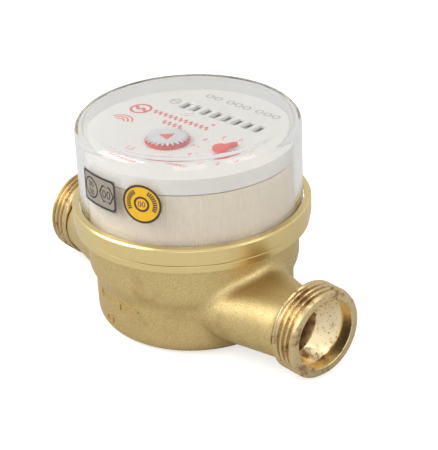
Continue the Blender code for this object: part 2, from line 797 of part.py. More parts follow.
star = arbor_axis("star_axis", STAR_AT)
STAR_RIM_Z = DIAL_TOP + 0.3
STAR_FACE_Z = STAR_RIM_Z + 0.8
STAR_TOP = STAR_FACE_Z + 0.5
STAR_FOOT = STAR_RIM_Z - 1.9
stacked(
    "star_gears",
    [
        (SHAFT_FOOT, LEVEL_1, None),
        (LEVEL_1, LEVEL_1 + GEAR_THICK, gear(B_TEETH, M1, b_phase)),
        (LEVEL_1 + GEAR_THICK + 0.5, LEVEL_2 + 1.4, gear(C_TEETH, M2)),
        (LEVEL_2 + 1.4, STAR_RIM_Z + 0.3, None),
    ],
    GEAR_PLASTIC,
    star,
)
STAR_TEETH = 24


def star_outline():
    points = []
    for i in range(STAR_TEETH):
        for radius, part in ((STAR_R - 1.8, -0.5), (STAR_R, -0.08), (STAR_R, 0.08)):
            angle = 2 * pi * (i + part) / STAR_TEETH
            points.append((radius * cos(angle), radius * sin(angle)))
    return points


star_rim = star_outline()
star_bore = circle(BEARING_R, 8)
layered(
    "flow_star",
    [
        (STAR_FOOT, STAR_RIM_Z, [circle(STAR_HUB_R, ROUND_IN), star_bore]),
        (STAR_RIM_Z, STAR_RIM_Z + 0.3, [circle(STAR_RIM_R, ROUND_IN), star_bore]),
        (STAR_RIM_Z + 0.3, STAR_FACE_Z, [circle(STAR_R - 1.7, ROUND_IN)]),
        (STAR_FACE_Z, STAR_TOP, [star_rim]),
    ],
    RED_PLASTIC,
    star,
)

second = arbor_axis("second_axis", SECOND_AT)
stacked(
    "second_gears",
    [
        (SHAFT_FOOT, LEVEL_2, None),
        (LEVEL_2, LEVEL_2 + GEAR_THICK, gear(D_TEETH, M2, d_phase)),
        (LEVEL_2 + GEAR_THICK + 0.5, LEVEL_3 + 1.4, gear(E_TEETH, M2)),
        (LEVEL_3 + 1.4, HIGH_FRAME_TOP - 0.2, None),
    ],
    GEAR_PLASTIC,
    second,
)

pointer_axis = arbor_axis("pointer_axis", POINTER_AT)
POINTER_LOW = DIAL_TOP + 0.3
POINTER_THICK = 0.8
stacked(
    "pointer_gears",
    [
        (SHAFT_FOOT, LEVEL_1, None),
        (LEVEL_1, LEVEL_1 + GEAR_THICK, gear(G_TEETH, M3)),
        (LEVEL_3, LEVEL_3 + GEAR_THICK, gear(F_TEETH, M2, f_phase)),
        (LEVEL_3 + GEAR_THICK, POINTER_LOW + POINTER_THICK - 0.3, None),
    ],
    GEAR_PLASTIC,
    pointer_axis,
)


def pointer_outline():
    """A large round hub with a blade that ends in a half round tip."""
    heading = radians(POINTER_HEADING)
    half = POINTER_BLADE / 2
    points = []
    for i in range(11):
        angle = radians(35 + 290 * i / 10)
        points.append((POINTER_HUB_R * cos(angle), POINTER_HUB_R * sin(angle)))
    for i in range(5):
        angle = radians(-90 + 180 * i / 4)
        points.append((POINTER_REACH - half + half * cos(angle), half * sin(angle)))
    return [(x * cos(heading) - y * sin(heading), x * sin(heading) + y * cos(heading)) for x, y in points]


pointer_edge = pointer_outline()
layered(
    "pointer",
    [
        (POINTER_LOW, POINTER_LOW + POINTER_THICK - 0.2, [pointer_edge, circle(BEARING_R, 8)]),
        (POINTER_LOW + POINTER_THICK - 0.2, POINTER_LOW + POINTER_THICK, [pointer_edge]),
    ],
    RED_PLASTIC,
    pointer_axis,
)

idler = arbor_axis("idler_axis", IDLER_AT)
stacked(
    "idler_gear",
    [
        (SHAFT_FOOT, LEVEL_1, None),
        (LEVEL_1, LEVEL_1 + GEAR_THICK, gear(I_TEETH, M3, i_phase)),
        (LEVEL_1 + GEAR_THICK, HIGH_FRAME_TOP - 0.2, None),
    ],
    GEAR_PLASTIC,
    idler,
)

worm_axis = arbor_axis("worm_axis", WORM_AT)
stacked(
    "worm_drive_gear",
    [
        (SHAFT_FOOT, LEVEL_1, None),
        (LEVEL_1, LEVEL_1 + GEAR_THICK, gear(H_TEETH, M3, h_phase)),
        (LEVEL_1 + GEAR_THICK, HIGH_FRAME_TOP + 4.6, None),
    ],
    GEAR_PLASTIC,
    worm_axis,
)

# The worm is a twisted bar: its cross-section has one lobe, and it turns once in each axial pitch.
WORM_LENGTH = 3.6
WORM_STEP = 30.0
WORM_HEADING = 90.0        # its crest points at the wheel, at the wheel's own height
WORM_LOW = HIGH_FRAME_TOP + GAP


def worm_radius(turn):
    """Radius of the cross-section at this share of a turn from the crest: a trapezium thread."""
    away = abs((turn + 0.5) % 1.0 - 0.5)
    root = WORM_PITCH_R - 0.62
    tip = WORM_PITCH_R + 0.4
    crest, foot = 0.10, 0.30
    share = min(max((away - crest) / (foot - crest), 0.0), 1.0)
    return tip + (root - tip) * share


def worm(name):
    bm = bmesh.new()
    axial = pi * WORM_MODULE
    points = 12
    layers = ceil(WORM_LENGTH / axial * 360 / WORM_STEP)
    rings = []
    for level in range(layers + 1):
        z = WORM_LENGTH * level / layers
        twist = 2 * pi * (WORM_LOW + z - ROLLER_Z) / axial + radians(WORM_HEADING)
        outer = []
        inner = []
        for i in range(points):
            angle = 2 * pi * i / points
            radius = worm_radius(i / points)
            outer.append(bm.verts.new((radius * cos(angle + twist), radius * sin(angle + twist), z)))
        for i in range(8 if level in (0, layers) else 0):
            angle = 2 * pi * i / 8
            inner.append(bm.verts.new((BEARING_R * cos(angle), BEARING_R * sin(angle), z)))
        rings.append((outer, inner))
    for (first, _), (following, _) in zip(rings, rings[1:]):
        for i in range(points):
            bm.faces.new((first[i - 1], first[i], following[i], following[i - 1]))
    for i in range(8):
        low, high = rings[0][1], rings[-1][1]
        bm.faces.new((low[i - 1], low[i], high[i], high[i - 1]))
    for outer, inner in (rings[0], rings[-1]):
        edges = [bm.edges.get((loop[i - 1], loop[i])) for loop in (outer, inner) for i in range(len(loop))]
        bmesh.ops.triangle_fill(bm, use_beauty=True, use_dissolve=False, edges=edges)
    return store(name, bm, GEAR_PLASTIC, worm_axis, shifted(0, 0, WORM_LOW))


worm("worm")

# ---------------------------------------------------------------- number rollers and transfer pinions
roller_bore = circle(ROLLER_SHAFT_R + 0.15, 8)
roller_rim = circle(ROLLER_R, 24)


def roller(number):
    """Number 0 is the slowest. Its gear ring stands on the +X side; the fastest has the worm wheel there."""
    empty = axis_empty("roller_axis_%d" % (number + 1), (roller_x(number), ROLLER_Y, ROLLER_Z), register, ALONG_X)
    half = ROLLER_WIDTH / 2
    layers = [(-half, half, [roller_rim, roller_bore])]
    if number < ROLLER_COUNT - 1:
        # Local -X of the turned empty is up, so a tooth centred at phase 0 points straight down.
        layers.append((half, half + ROLLER_RING, [gear(RING_TEETH, ROLLER_MODULE), roller_bore]))
    else:
        hub = circle(2.0, 10)
        wheel = gear(WORM_WHEEL_TEETH, WORM_MODULE, WORM_WHEEL_PHASE)
        start = WORM_WHEEL[0] - roller_x(number)
        layers.append((half, start, [hub, roller_bore]))
        layers.append((start, start + WORM_WHEEL[1] - WORM_WHEEL[0], [wheel, roller_bore]))
    layered("number_roller_%d" % (number + 1), layers, WHITE_PLASTIC, empty)


WORM_WHEEL_PHASE = 90.0 + 360.0 / WORM_WHEEL_TEETH / 2
for number in range(ROLLER_COUNT):
    roller(number)

pinion_bore = circle(PINION_SHAFT_R + 0.15, 8)
PINION_START = ROLLER_WIDTH / 2 + 0.15
for number in range(ROLLER_COUNT - 1):
    empty = axis_empty("pinion_axis_%d" % (number + 1), (roller_x(number), ROLLER_Y, PINION_Z), register, ALONG_X)
    outline = gear(PINION_TEETH, ROLLER_MODULE, mesh_phase(0, RING_TEETH, 0, PINION_TEETH))
    layered(
        "transfer_pinion_%d" % (number + 1),
        [(PINION_START, PINION_START + ROLLER_RING, [outline, pinion_bore])],
        GEAR_PLASTIC,
        empty,
    )

# ---------------------------------------------------------------- labels on the hood


def hood_label(name, half_width, half_height, heading, z, columns, finish):
    """A thin plate that follows the hood's wall. half_height(s) gives its half height at s from its middle."""
    bm = bmesh.new()
    inner = HOOD_R + RUN
    rows = []
    for i in range(columns + 1):
        s = half_width * (2 * i / columns - 1)
        angle = radians(heading) + s / inner
        tall = half_height(s)
        corners = []
        for radius, side in ((inner, -1), (inner + LABEL_THICK, -1), (inner + LABEL_THICK, 1), (inner, 1)):
            corners.append(bm.verts.new((radius * cos(angle), radius * sin(angle), z + side * tall)))
        rows.append(corners)
    for first, following in zip(rows, rows[1:]):
        for i in range(4):
            bm.faces.new((first[i - 1], first[i], following[i], following[i - 1]))
    bm.faces.new(rows[0])
    bm.faces.new(rows[-1])
    return store(name, bm, finish, register, unturned)


hood_label("approval_label", 7.25, lambda s: 4.85, -91.5, 49.55, 6, GREY_LABEL)
DISC_R = 5.8
hood_label("calibration_label", DISC_R * 0.985, lambda s: sqrt(DISC_R**2 - s**2), -64.0, 49.5, 12, YELLOW_LABEL)
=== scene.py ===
# %% [markdown]
# # A small brass water meter
#
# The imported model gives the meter's working pieces and their places. This script dresses them: a
# sand-cast brass body with cut pipe threads, a turned clamp ring, a clear hood, a ribbed cup, a printed
# dial with number rollers, a flow star and a pointer. Lengths are written in millimetres and stored in
# metres.

# %% Load the frame
import json
from math import atan2, cos, degrees, hypot, pi, radians, sin, sqrt

import bmesh
import bpy
from mathutils import Matrix, Vector


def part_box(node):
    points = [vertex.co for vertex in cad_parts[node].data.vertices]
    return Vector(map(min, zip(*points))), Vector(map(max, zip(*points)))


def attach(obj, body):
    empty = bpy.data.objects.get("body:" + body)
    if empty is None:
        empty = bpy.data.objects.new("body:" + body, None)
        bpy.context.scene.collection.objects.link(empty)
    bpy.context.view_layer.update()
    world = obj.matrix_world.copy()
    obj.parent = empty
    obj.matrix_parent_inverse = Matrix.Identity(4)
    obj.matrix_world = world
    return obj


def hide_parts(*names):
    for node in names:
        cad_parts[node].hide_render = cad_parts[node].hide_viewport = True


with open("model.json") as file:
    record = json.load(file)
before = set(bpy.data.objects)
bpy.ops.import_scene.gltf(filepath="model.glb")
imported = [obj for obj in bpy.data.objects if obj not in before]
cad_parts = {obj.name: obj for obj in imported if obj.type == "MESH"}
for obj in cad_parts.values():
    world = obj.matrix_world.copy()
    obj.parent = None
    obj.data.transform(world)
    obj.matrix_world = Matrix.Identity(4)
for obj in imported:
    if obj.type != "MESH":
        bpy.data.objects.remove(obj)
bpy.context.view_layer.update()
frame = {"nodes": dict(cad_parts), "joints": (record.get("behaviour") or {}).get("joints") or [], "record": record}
MM = 0.001

# %% [markdown]
# Places and overall sizes are read from the frame. A node's box gives radii and heights, and the joints
# give the axes of the wheels. The dial stands slightly turned on the body, and the row of rollers tells
# by how much. A few sizes that no box gives, such as the thread's radius and the prints, are typed in
# where they are needed.

# %% Read the driving sizes from the frame
record = frame["record"]


def low(node):
    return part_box(node)[0] / MM


def high(node):
    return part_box(node)[1] / MM


def joint_point(name):
    for joint in frame["joints"]:
        if joint["name"] == name:
            return Vector(joint["pos_m"]) / MM
    raise KeyError(name)


HALF = high("body_casting").x
THREAD_R = 13.22
PIPE_Z = THREAD_R + 0.38
RING_R = high("clamp_ring").x
RING_LOW = low("clamp_ring").z
RING_TOP = high("clamp_ring").z
SPIGOT_TOP = high("body_casting").z
HOOD_FOOT_R = high("hood").x
HOOD_FOOT_STEP = 1.3
HOOD_R = HOOD_FOOT_R - HOOD_FOOT_STEP
HOOD_WALL = 2.3
HOOD_LOW = low("hood").z
HOOD_TOP = high("hood").z
CUP_R = high("register_cup").x
DIAL_TOP = high("dial_plate").z
SKIRT_Z = low("dial_plate").z
first_roller = joint_point("roller_1_spin")
last_roller = joint_point("roller_8_spin")
DIAL_TURN = atan2(last_roller.y - first_roller.y, last_roller.x - first_roller.x)
dial_frame = Matrix.Rotation(DIAL_TURN, 4, "Z")
print("dial turned by", round(degrees(DIAL_TURN), 2), "degrees; hood radius", round(HOOD_R, 2))


def on_dial(point):
    """A point of the row frame as (x, y) on the turned dial."""
    local = dial_frame.inverted() @ point
    return (local.x, local.y)


STAR_AT = on_dial(joint_point("star_arbor_spin"))
POINTER_AT = on_dial(joint_point("pointer_arbor_spin"))

# %% [markdown]
# ## Shaping helpers
#
# Most of the meter was made on a lathe, so most pieces are a profile spun round an axis. A profile is a
# short list of corners, and `eased` rounds each of them with a small arc, because no machined edge is
# perfectly sharp and it is the rounded edge that catches the light.

# %% Helpers for turned pieces


def eased(profile, radius, steps=3, closed=True):
    """The profile with each corner cut back by up to the radius and rounded."""
    made = []
    count = len(profile)
    for i, corner in enumerate(profile):
        if not closed and i in (0, count - 1):
            made.append(corner)
            continue
        here = Vector(corner)
        before = Vector(profile[i - 1])
        after = Vector(profile[(i + 1) % count])
        back, ahead = before - here, after - here
        on_axis = abs(here.x) < 1e-6
        reach = min(radius, back.length * 0.45, ahead.length * 0.45)
        if on_axis or reach < 1e-4:
            made.append(corner)
            continue
        start = here + back.normalized() * reach
        end = here + ahead.normalized() * reach
        for step in range(steps + 1):
            t = step / steps
            point = start * (1 - t) ** 2 + here * 2 * t * (1 - t) + end * t**2
            made.append((point.x, point.y))
    return made


def arc(centre, radius, start, end, steps):
    points = []
    for i in range(steps + 1):
        angle = radians(start + (end - start) * i / steps)
        points.append((centre[0] + radius * cos(angle), centre[1] + radius * sin(angle)))
    return points


def store(name, bm, finishes, body, place=None, sharp=35.0):
    """Stores a bmesh of millimetres as a piece that rides on a body."""
    bmesh.ops.recalc_face_normals(bm, faces=bm.faces)
    if place is not None:
        bmesh.ops.transform(bm, matrix=place, verts=bm.verts)
    bmesh.ops.scale(bm, vec=(MM, MM, MM), verts=bm.verts)
    mesh = bpy.data.meshes.new(name)
    bm.to_mesh(mesh)
    bm.free()
    for finish in finishes if isinstance(finishes, (list, tuple)) else [finishes]:
        mesh.materials.append(finish)
    mesh.shade_smooth()
    mesh.set_sharp_from_angle(angle=radians(sharp))
    piece = bpy.data.objects.new(name, mesh)
    bpy.context.scene.collection.objects.link(piece)
    # Large flat faces keep their own direction, so a small rounding doesn't bend the light on them.
    normals = piece.modifiers.new("normals", "WEIGHTED_NORMAL")
    normals.keep_sharp = True
    normals.weight = 80
    if body is not None:
        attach(piece, body)
    print(name, len(mesh.vertices), "points")
    return piece


def spun(profile, segments):
    """A bmesh of the closed profile of (radius, height), spun round Z."""
    bm = bmesh.new()
    rings = []
    for radius, z in profile:
        if radius < 1e-6:
            rings.append([bm.verts.new((0.0, 0.0, z))])
            continue
        ring = []
        for i in range(segments):
            angle = 2 * pi * i / segments
            ring.append(bm.verts.new((radius * cos(angle), radius * sin(angle), z)))
        rings.append(ring)
    for i, ring in enumerate(rings):
        other = rings[(i + 1) % len(rings)]
        if len(ring) == 1 and len(other) == 1:
            continue
        for k in range(segments):
            if len(ring) == 1:
                bm.faces.new((ring[0], other[k], other[k - 1]))
            elif len(other) == 1:
                bm.faces.new((ring[k - 1], ring[k], other[0]))
            else:
                bm.faces.new((ring[k - 1], ring[k], other[k], other[k - 1]))
    return bm


# %% [markdown]
# The surface effects are shader node groups, each built once. A group puts out only masks, heights and
# colours, and the shader itself stays in every material. That keeps the groups reusable: the same grain
# makes cast metal, moulded plastic and rubber, at different sizes.

# %% A helper that builds a node group


def node_group(name, inputs, outputs):
    """An empty shader group with float or vector inputs [(name, kind, default)] and outputs [(name, kind)]."""
    tree = bpy.data.node_groups.new(name, "ShaderNodeTree")
    kinds = {"float": "NodeSocketFloat", "vector": "NodeSocketVector"}
    for label, kind, default in inputs:
        socket = tree.interface.new_socket(label, in_out="INPUT", socket_type=kinds[kind])
        socket.default_value = default
    for label, kind in outputs:
        tree.interface.new_socket(label, in_out="OUTPUT", socket_type=kinds[kind])
    return tree, tree.nodes.new("NodeGroupInput"), tree.nodes.new("NodeGroupOutput")


def math(tree, operation, a, b=None, c=None, clamp=False):
    node = tree.nodes.new("ShaderNodeMath")
    node.operation = operation
    node.use_clamp = clamp
    for slot, value in zip(node.inputs, (a, b, c)):
        if value is None:
            continue
        if isinstance(value, (int, float)):
            slot.default_value = value
        else:
            tree.links.new(value, slot)
    return node.outputs[0]


def vector_math(tree, operation, a, b=None):
    node = tree.nodes.new("ShaderNodeVectorMath")
    node.operation = operation
    for slot, value in zip(node.inputs, (a, b)):
        if value is None:
            continue
        if isinstance(value, tuple):
            slot.default_value = value
        else:
            tree.links.new(value, slot)
    return node


def noise(tree, vector, scale, detail=2.0, roughness=0.5, dimensions="3D", w=None):
    node = tree.nodes.new("ShaderNodeTexNoise")
    node.noise_dimensions = dimensions
    node.inputs["Detail"].default_value = detail
    node.inputs["Roughness"].default_value = roughness
    if isinstance(scale, (int, float)):
        node.inputs["Scale"].default_value = scale
    else:
        tree.links.new(scale, node.inputs["Scale"])
    if vector is not None:
        tree.links.new(vector, node.inputs["Vector"])
    if w is not None:
        tree.links.new(w, node.inputs["W"])
    return node.outputs["Fac"]


def between(tree, value, start, end):
    """0 below start and 1 above end, with a smooth change between them."""
    node = tree.nodes.new("ShaderNodeMapRange")
    node.interpolation_type = "SMOOTHSTEP"
    for label, setting in (("From Min", start), ("From Max", end)):
        if isinstance(setting, (int, float)):
            node.inputs[label].default_value = setting
        else:
            tree.links.new(setting, node.inputs[label])
    tree.links.new(value, node.inputs["Value"])
    return node.outputs["Result"]


# %% [markdown]
# **Grain.** A blasted casting is covered in tiny dents, and moulded plastic has a faint orange-peel. Both
# are noise at two sizes. The group gives a height for a bump and a mask for small changes of colour and
# roughness.

# %% Group: grain
grain, g_in, g_out = node_group(
    "Grain",
    [("Scale", "float", 2500.0), ("Coarse", "float", 0.3)],
    [("Height", "float"), ("Mask", "float")],
)
place = grain.nodes.new("ShaderNodeTexCoord").outputs["Object"]
fine = noise(grain, place, g_in.outputs["Scale"], 3.0, 0.6)
wide = noise(grain, place, math(grain, "MULTIPLY", g_in.outputs["Scale"], 0.22), 2.0)
mixed = math(grain, "ADD", fine, math(grain, "MULTIPLY", wide, g_in.outputs["Coarse"]))
grain.links.new(mixed, g_out.inputs["Height"])
grain.links.new(between(grain, fine, 0.35, 0.68), g_out.inputs["Mask"])

# %% [markdown]
# **Turning marks.** A lathe tool leaves very fine grooves that run round the axis. Their height depends
# only on how far along and how far out a point is, so the group measures both from an axis and reads a
# one-dimensional noise.

# %% Group: turning marks
marks, m_in, m_out = node_group(
    "Turning Marks",
    [("Centre", "vector", (0.0, 0.0, 0.0)), ("Axis", "vector", (0.0, 0.0, 1.0)), ("Density", "float", 9000.0)],
    [("Height", "float"), ("Mask", "float")],
)
place = marks.nodes.new("ShaderNodeTexCoord").outputs["Object"]
offset = vector_math(marks, "SUBTRACT", place, m_in.outputs["Centre"]).outputs[0]
along = vector_math(marks, "DOT_PRODUCT", offset, m_in.outputs["Axis"]).outputs["Value"]
across = vector_math(marks, "CROSS_PRODUCT", offset, m_in.outputs["Axis"]).outputs[0]
radial = vector_math(marks, "LENGTH", across).outputs["Value"]
path = math(marks, "ADD", along, radial)
groove = noise(marks, None, m_in.outputs["Density"], 2.0, 0.7, "1D", path)
marks.links.new(groove, m_out.inputs["Height"])
marks.links.new(between(marks, groove, 0.3, 0.7), m_out.inputs["Mask"])

# %% [markdown]
# **Tarnish.** Brass goes brown where a finger or water has been, in blots with ragged edges and small
# spots. The group is a mask: the material says which two colours and which two roughnesses it mixes.

# %% Group: tarnish
tarnish, t_in, t_out = node_group(
    "Tarnish",
    [("Scale", "float", 120.0), ("Start", "float", 0.55), ("Spots", "float", 0.3)],
    [("Mask", "float")],
)
place = tarnish.nodes.new("ShaderNodeTexCoord").outputs["Object"]
blots = noise(tarnish, place, t_in.outputs["Scale"], 6.0, 0.65)
end = math(tarnish, "ADD", t_in.outputs["Start"], 0.14)
blot_mask = between(tarnish, blots, t_in.outputs["Start"], end)
small = noise(tarnish, place, math(tarnish, "MULTIPLY", t_in.outputs["Scale"], 7.0), 3.0, 0.6)
spot_mask = math(tarnish, "MULTIPLY", between(tarnish, small, 0.59, 0.67), t_in.outputs["Spots"])
tarnish.links.new(math(tarnish, "MAXIMUM", blot_mask, spot_mask), t_out.inputs["Mask"])

# %% [markdown]
# ## Materials
#
# A small builder wires each material: a base colour that a mask mixes with a second one, a roughness
# range, and one or two heights that feed a bump. Constants stay on the shader's own sockets.

# %% Material builder


def shader_of(name, roughness, metallic=0.0):
    made = bpy.data.materials.new(name)
    made.use_nodes = True
    shader = made.node_tree.nodes["Principled BSDF"]
    shader.inputs["Roughness"].default_value = roughness
    shader.inputs["Metallic"].default_value = metallic
    return made, made.node_tree, shader


def place_group(tree, group, **values):
    node = tree.nodes.new("ShaderNodeGroup")
    node.node_tree = group
    for label, value in values.items():
        node.inputs[label].default_value = value
    return node


def mix_colours(tree, mask, first, second):
    node = tree.nodes.new("ShaderNodeMix")
    node.data_type = "RGBA"
    for slot, colour in ((node.inputs[6], first), (node.inputs[7], second)):
        if isinstance(colour, tuple):
            slot.default_value = (*colour, 1.0)
        else:
            tree.links.new(colour, slot)
    tree.links.new(mask, node.inputs[0])
    return node.outputs[2]


def mix_values(tree, mask, first, second):
    """first where the mask is 0 and second where it is 1."""
    part = math(tree, "MULTIPLY", mask, second - first)
    return math(tree, "ADD", part, first)


def bump(tree, shader, height, distance, strength=1.0):
    node = tree.nodes.new("ShaderNodeBump")
    node.inputs["Distance"].default_value = distance
    node.inputs["Strength"].default_value = strength
    tree.links.new(height, node.inputs["Height"])
    tree.links.new(node.outputs["Normal"], shader.inputs["Normal"])
    return node


# %% [markdown]
# The casting was blasted with fine grit: it looks satin from afar and sparkles up close. The grain drives
# the bump, and it also lightens the tops of the grains a little.

# %% Cast brass
cast_brass, tree, shader = shader_of("cast brass", 0.42, 1.0)
grit = place_group(tree, grain, Scale=2600.0, Coarse=0.5)
blots = place_group(tree, tarnish, Scale=45.0, Start=0.56, Spots=0.15)
bright = mix_colours(tree, grit.outputs["Mask"], (0.55, 0.42, 0.19), (0.68, 0.535, 0.26))
colour = mix_colours(tree, blots.outputs["Mask"], bright, (0.49, 0.355, 0.15))
tree.links.new(colour, shader.inputs["Base Color"])
tree.links.new(mix_values(tree, grit.outputs["Mask"], 0.54, 0.42), shader.inputs["Roughness"])
bump(tree, shader, grit.outputs["Height"], 0.00012, 0.55)

# %% [markdown]
# Turned brass is brighter and smoother. The grooves of the tool stretch its highlights into short bands,
# and the bump does that here without any anisotropy setting.

# %% Turned brass round the upright axis
turned_brass, tree, shader = shader_of("turned brass", 0.26, 1.0)
lines = place_group(tree, marks, Density=14000.0)
blots = place_group(tree, tarnish, Scale=60.0, Start=0.60, Spots=0.25)
bright = mix_colours(tree, lines.outputs["Mask"], (0.70, 0.545, 0.24), (0.79, 0.64, 0.31))
colour = mix_colours(tree, blots.outputs["Mask"], bright, (0.62, 0.46, 0.20))
tree.links.new(colour, shader.inputs["Base Color"])
tree.links.new(mix_values(tree, lines.outputs["Mask"], 0.34, 0.24), shader.inputs["Roughness"])
bump(tree, shader, lines.outputs["Height"], 0.00002, 0.35)

# %% [markdown]
# The threads were cut along the pipe axis and have been handled: brown tarnish sits in blots across them.
# The bore has been wet, so it is browner still and blotched.

# %% Thread and bore brass along the pipe axis


def pipe_brass(name, light, dark, start, spots, rough):
    made, tree, shader = shader_of(name, rough, 1.0)
    lines = place_group(tree, marks, Centre=(0.0, 0.0, PIPE_Z * MM), Axis=(1.0, 0.0, 0.0), Density=12000.0)
    blots = place_group(tree, tarnish, Scale=170.0, Start=start, Spots=spots)
    bright = mix_colours(tree, lines.outputs["Mask"], tuple(0.9 * part for part in light), light)
    tree.links.new(mix_colours(tree, blots.outputs["Mask"], bright, dark), shader.inputs["Base Color"])
    tree.links.new(mix_values(tree, blots.outputs["Mask"], rough, rough + 0.18), shader.inputs["Roughness"])
    bump(tree, shader, lines.outputs["Height"], 0.00002, 0.3)
    return made


thread_brass = pipe_brass("thread brass", (0.68, 0.53, 0.29), (0.32, 0.19, 0.08), 0.53, 0.7, 0.24)
bore_brass = pipe_brass("bore brass", (0.92, 0.77, 0.48), (0.30, 0.17, 0.07), 0.52, 1.0, 0.28)
throat_brass = pipe_brass("throat brass", (0.44, 0.30, 0.15), (0.14, 0.08, 0.03), 0.45, 1.0, 0.35)

# %% [markdown]
# The hood is clear acrylic, polished on both faces. Lamps would reach the dial only through caustics,
# which are slow and noisy, so for shadow rays a transparent shader takes the glass's place. The same is
# done for rays that have bounced many times inside the wall: they would never get out, and would leave
# black patches in the rim. That is a shortcut. A real wall leaks this light through its edges.

# %% Clear acrylic


MOST_BOUNCES = 7.5


def clear_plastic(name, tint):
    made, tree, shader = shader_of(name, 0.02)
    shader.inputs["Base Color"].default_value = (*tint, 1.0)
    shader.inputs["Transmission Weight"].default_value = 1.0
    shader.inputs["IOR"].default_value = 1.49
    haze = place_group(tree, grain, Scale=300.0, Coarse=0.3)
    tree.links.new(mix_values(tree, haze.outputs["Mask"], 0.01, 0.035), shader.inputs["Roughness"])
    through = tree.nodes.new("ShaderNodeBsdfTransparent")
    rays = tree.nodes.new("ShaderNodeLightPath")
    mixer = tree.nodes.new("ShaderNodeMixShader")
    trapped = math(tree, "GREATER_THAN", rays.outputs["Ray Depth"], MOST_BOUNCES)
    tree.links.new(math(tree, "MAXIMUM", rays.outputs["Is Shadow Ray"], trapped), mixer.inputs[0])
    tree.links.new(shader.outputs[0], mixer.inputs[1])
    tree.links.new(through.outputs[0], mixer.inputs[2])
    tree.links.new(mixer.outputs[0], tree.nodes["Material Output"].inputs["Surface"])
    return made


acrylic = clear_plastic("clear acrylic", (0.93, 0.928, 0.915))

# %% [markdown]
# The plastics differ in colour, gloss and grain only, so one function makes them all. The cup lets some
# light through its wall, which subsurface scattering gives.

# %% Moulded plastics, steel, rubber and magnet


def moulded(name, colour, roughness, size=900.0, depth=0.00002, metallic=0.0, dip=0.88):
    made, tree, shader = shader_of(name, roughness, metallic)
    skin = place_group(tree, grain, Scale=size, Coarse=0.6)
    shade = tuple(dip * part for part in colour)
    tree.links.new(mix_colours(tree, skin.outputs["Mask"], shade, colour), shader.inputs["Base Color"])
    rough = mix_values(tree, skin.outputs["Mask"], roughness + 0.08, roughness)
    tree.links.new(rough, shader.inputs["Roughness"])
    bump(tree, shader, skin.outputs["Height"], depth, 0.4)
    return made


cream = moulded("cream plastic", (0.79, 0.70, 0.58), 0.38, dip=0.96)
cream_shader = cream.node_tree.nodes["Principled BSDF"]
cream_shader.inputs["Subsurface Weight"].default_value = 0.35
cream_shader.inputs["Subsurface Radius"].default_value = (0.0012, 0.001, 0.0008)
cream_shader.inputs["Subsurface Scale"].default_value = 1.0
dial_white = moulded("dial white", (0.76, 0.745, 0.715), 0.5, dip=0.97)
drum_white = moulded("drum white", (0.78, 0.78, 0.76), 0.45, dip=0.96)
gear_white = moulded("gear plastic", (0.74, 0.72, 0.66), 0.4)
red = moulded("red plastic", (0.78, 0.02, 0.018), 0.3, dip=0.9)
red_print = moulded("red print", (0.76, 0.075, 0.065), 0.55, 1500.0, dip=0.85)
black_print = moulded("black print", (0.03, 0.03, 0.03), 0.5, 1500.0)
grey_print = moulded("grey print", (0.40, 0.40, 0.39), 0.5, 1500.0)
star_grey = moulded("star grey", (0.60, 0.62, 0.64), 0.35, dip=0.95)
dark_grey = moulded("dark grey plastic", (0.16, 0.165, 0.17), 0.45)
film_grey = moulded("grey film", (0.30, 0.26, 0.20), 0.32, 500.0, dip=0.93)
film_yellow = moulded("yellow film", (0.78, 0.43, 0.005), 0.35, 500.0, dip=0.95)
steel = moulded("ground steel", (0.60, 0.60, 0.62), 0.25, 2500.0, metallic=1.0)
ferrite = moulded("magnet", (0.08, 0.08, 0.085), 0.6, 2000.0)
rubber = moulded("seal rubber", (0.02, 0.02, 0.02), 0.65, 1800.0)
print(len(bpy.data.materials), "materials")

# %% [markdown]
# ## The casting
#
# The bowl and its two necks were poured in one piece, so every inside corner has a generous fillet.
# Rounding such corners by hand is fiddly. Instead the plain shapes are joined, and a voxel remesh turns
# them into an even skin. The skin is then grown and shrunk by the same amount: that closes the inside
# corners into fillets and leaves the outside ones nearly as they were.

# %% The shapes that make up the casting
FLANGE_Z = 30.0
FLANGE_R = RING_R - 0.5
BAND_R = 31.0
BOWL_R = 29.2
BAND_Z = 19.5
LEDGE_Z = 15.0
THREAD_LENGTH = 7.9
CHAMBER_R = 22.75
CHAMBER_FLOOR = 3.8
SHOULDER_Z = 24.6
UPPER_BORE = 28.3
PORT_R = 10.13
PORT_DEPTH = 3.8
THROAT_R = 7.5
THROAT_DEPTH = 8.0
THROAT_SHIFT = -4.0

bowl_profile = [
    (0.0, 0.0),
    (BOWL_R - 4.8, 0.0),
    *arc((BOWL_R - 4.8, 4.8), 4.8, -80, 0, 8),
    (BOWL_R, LEDGE_Z),
    (BAND_R - 0.3, BAND_Z - 1.6),
    (BAND_R, BAND_Z),
    (BAND_R, FLANGE_Z + 1.0),
    (0.0, FLANGE_Z + 1.0),
]
hollow_profile = [
    (0.0, CHAMBER_FLOOR),
    (CHAMBER_R, CHAMBER_FLOOR),
    (CHAMBER_R, SHOULDER_Z),
    (UPPER_BORE, SHOULDER_Z),
    (UPPER_BORE, FLANGE_Z + 3.0),
    (0.0, FLANGE_Z + 3.0),
]


def hull_section(x, straight, bulge, points):
    """Corners of the outline round two circles, each (centre y, radius), standing across the pipe axis."""
    made = []
    for i in range(points):
        angle = 2 * pi * i / points
        heading = (cos(angle), sin(angle))
        far = max((straight, bulge), key=lambda c: c[0] * heading[0] + c[1])
        made.append((x, far[0] + far[1] * heading[0], PIPE_Z + far[1] * heading[1]))
    return made


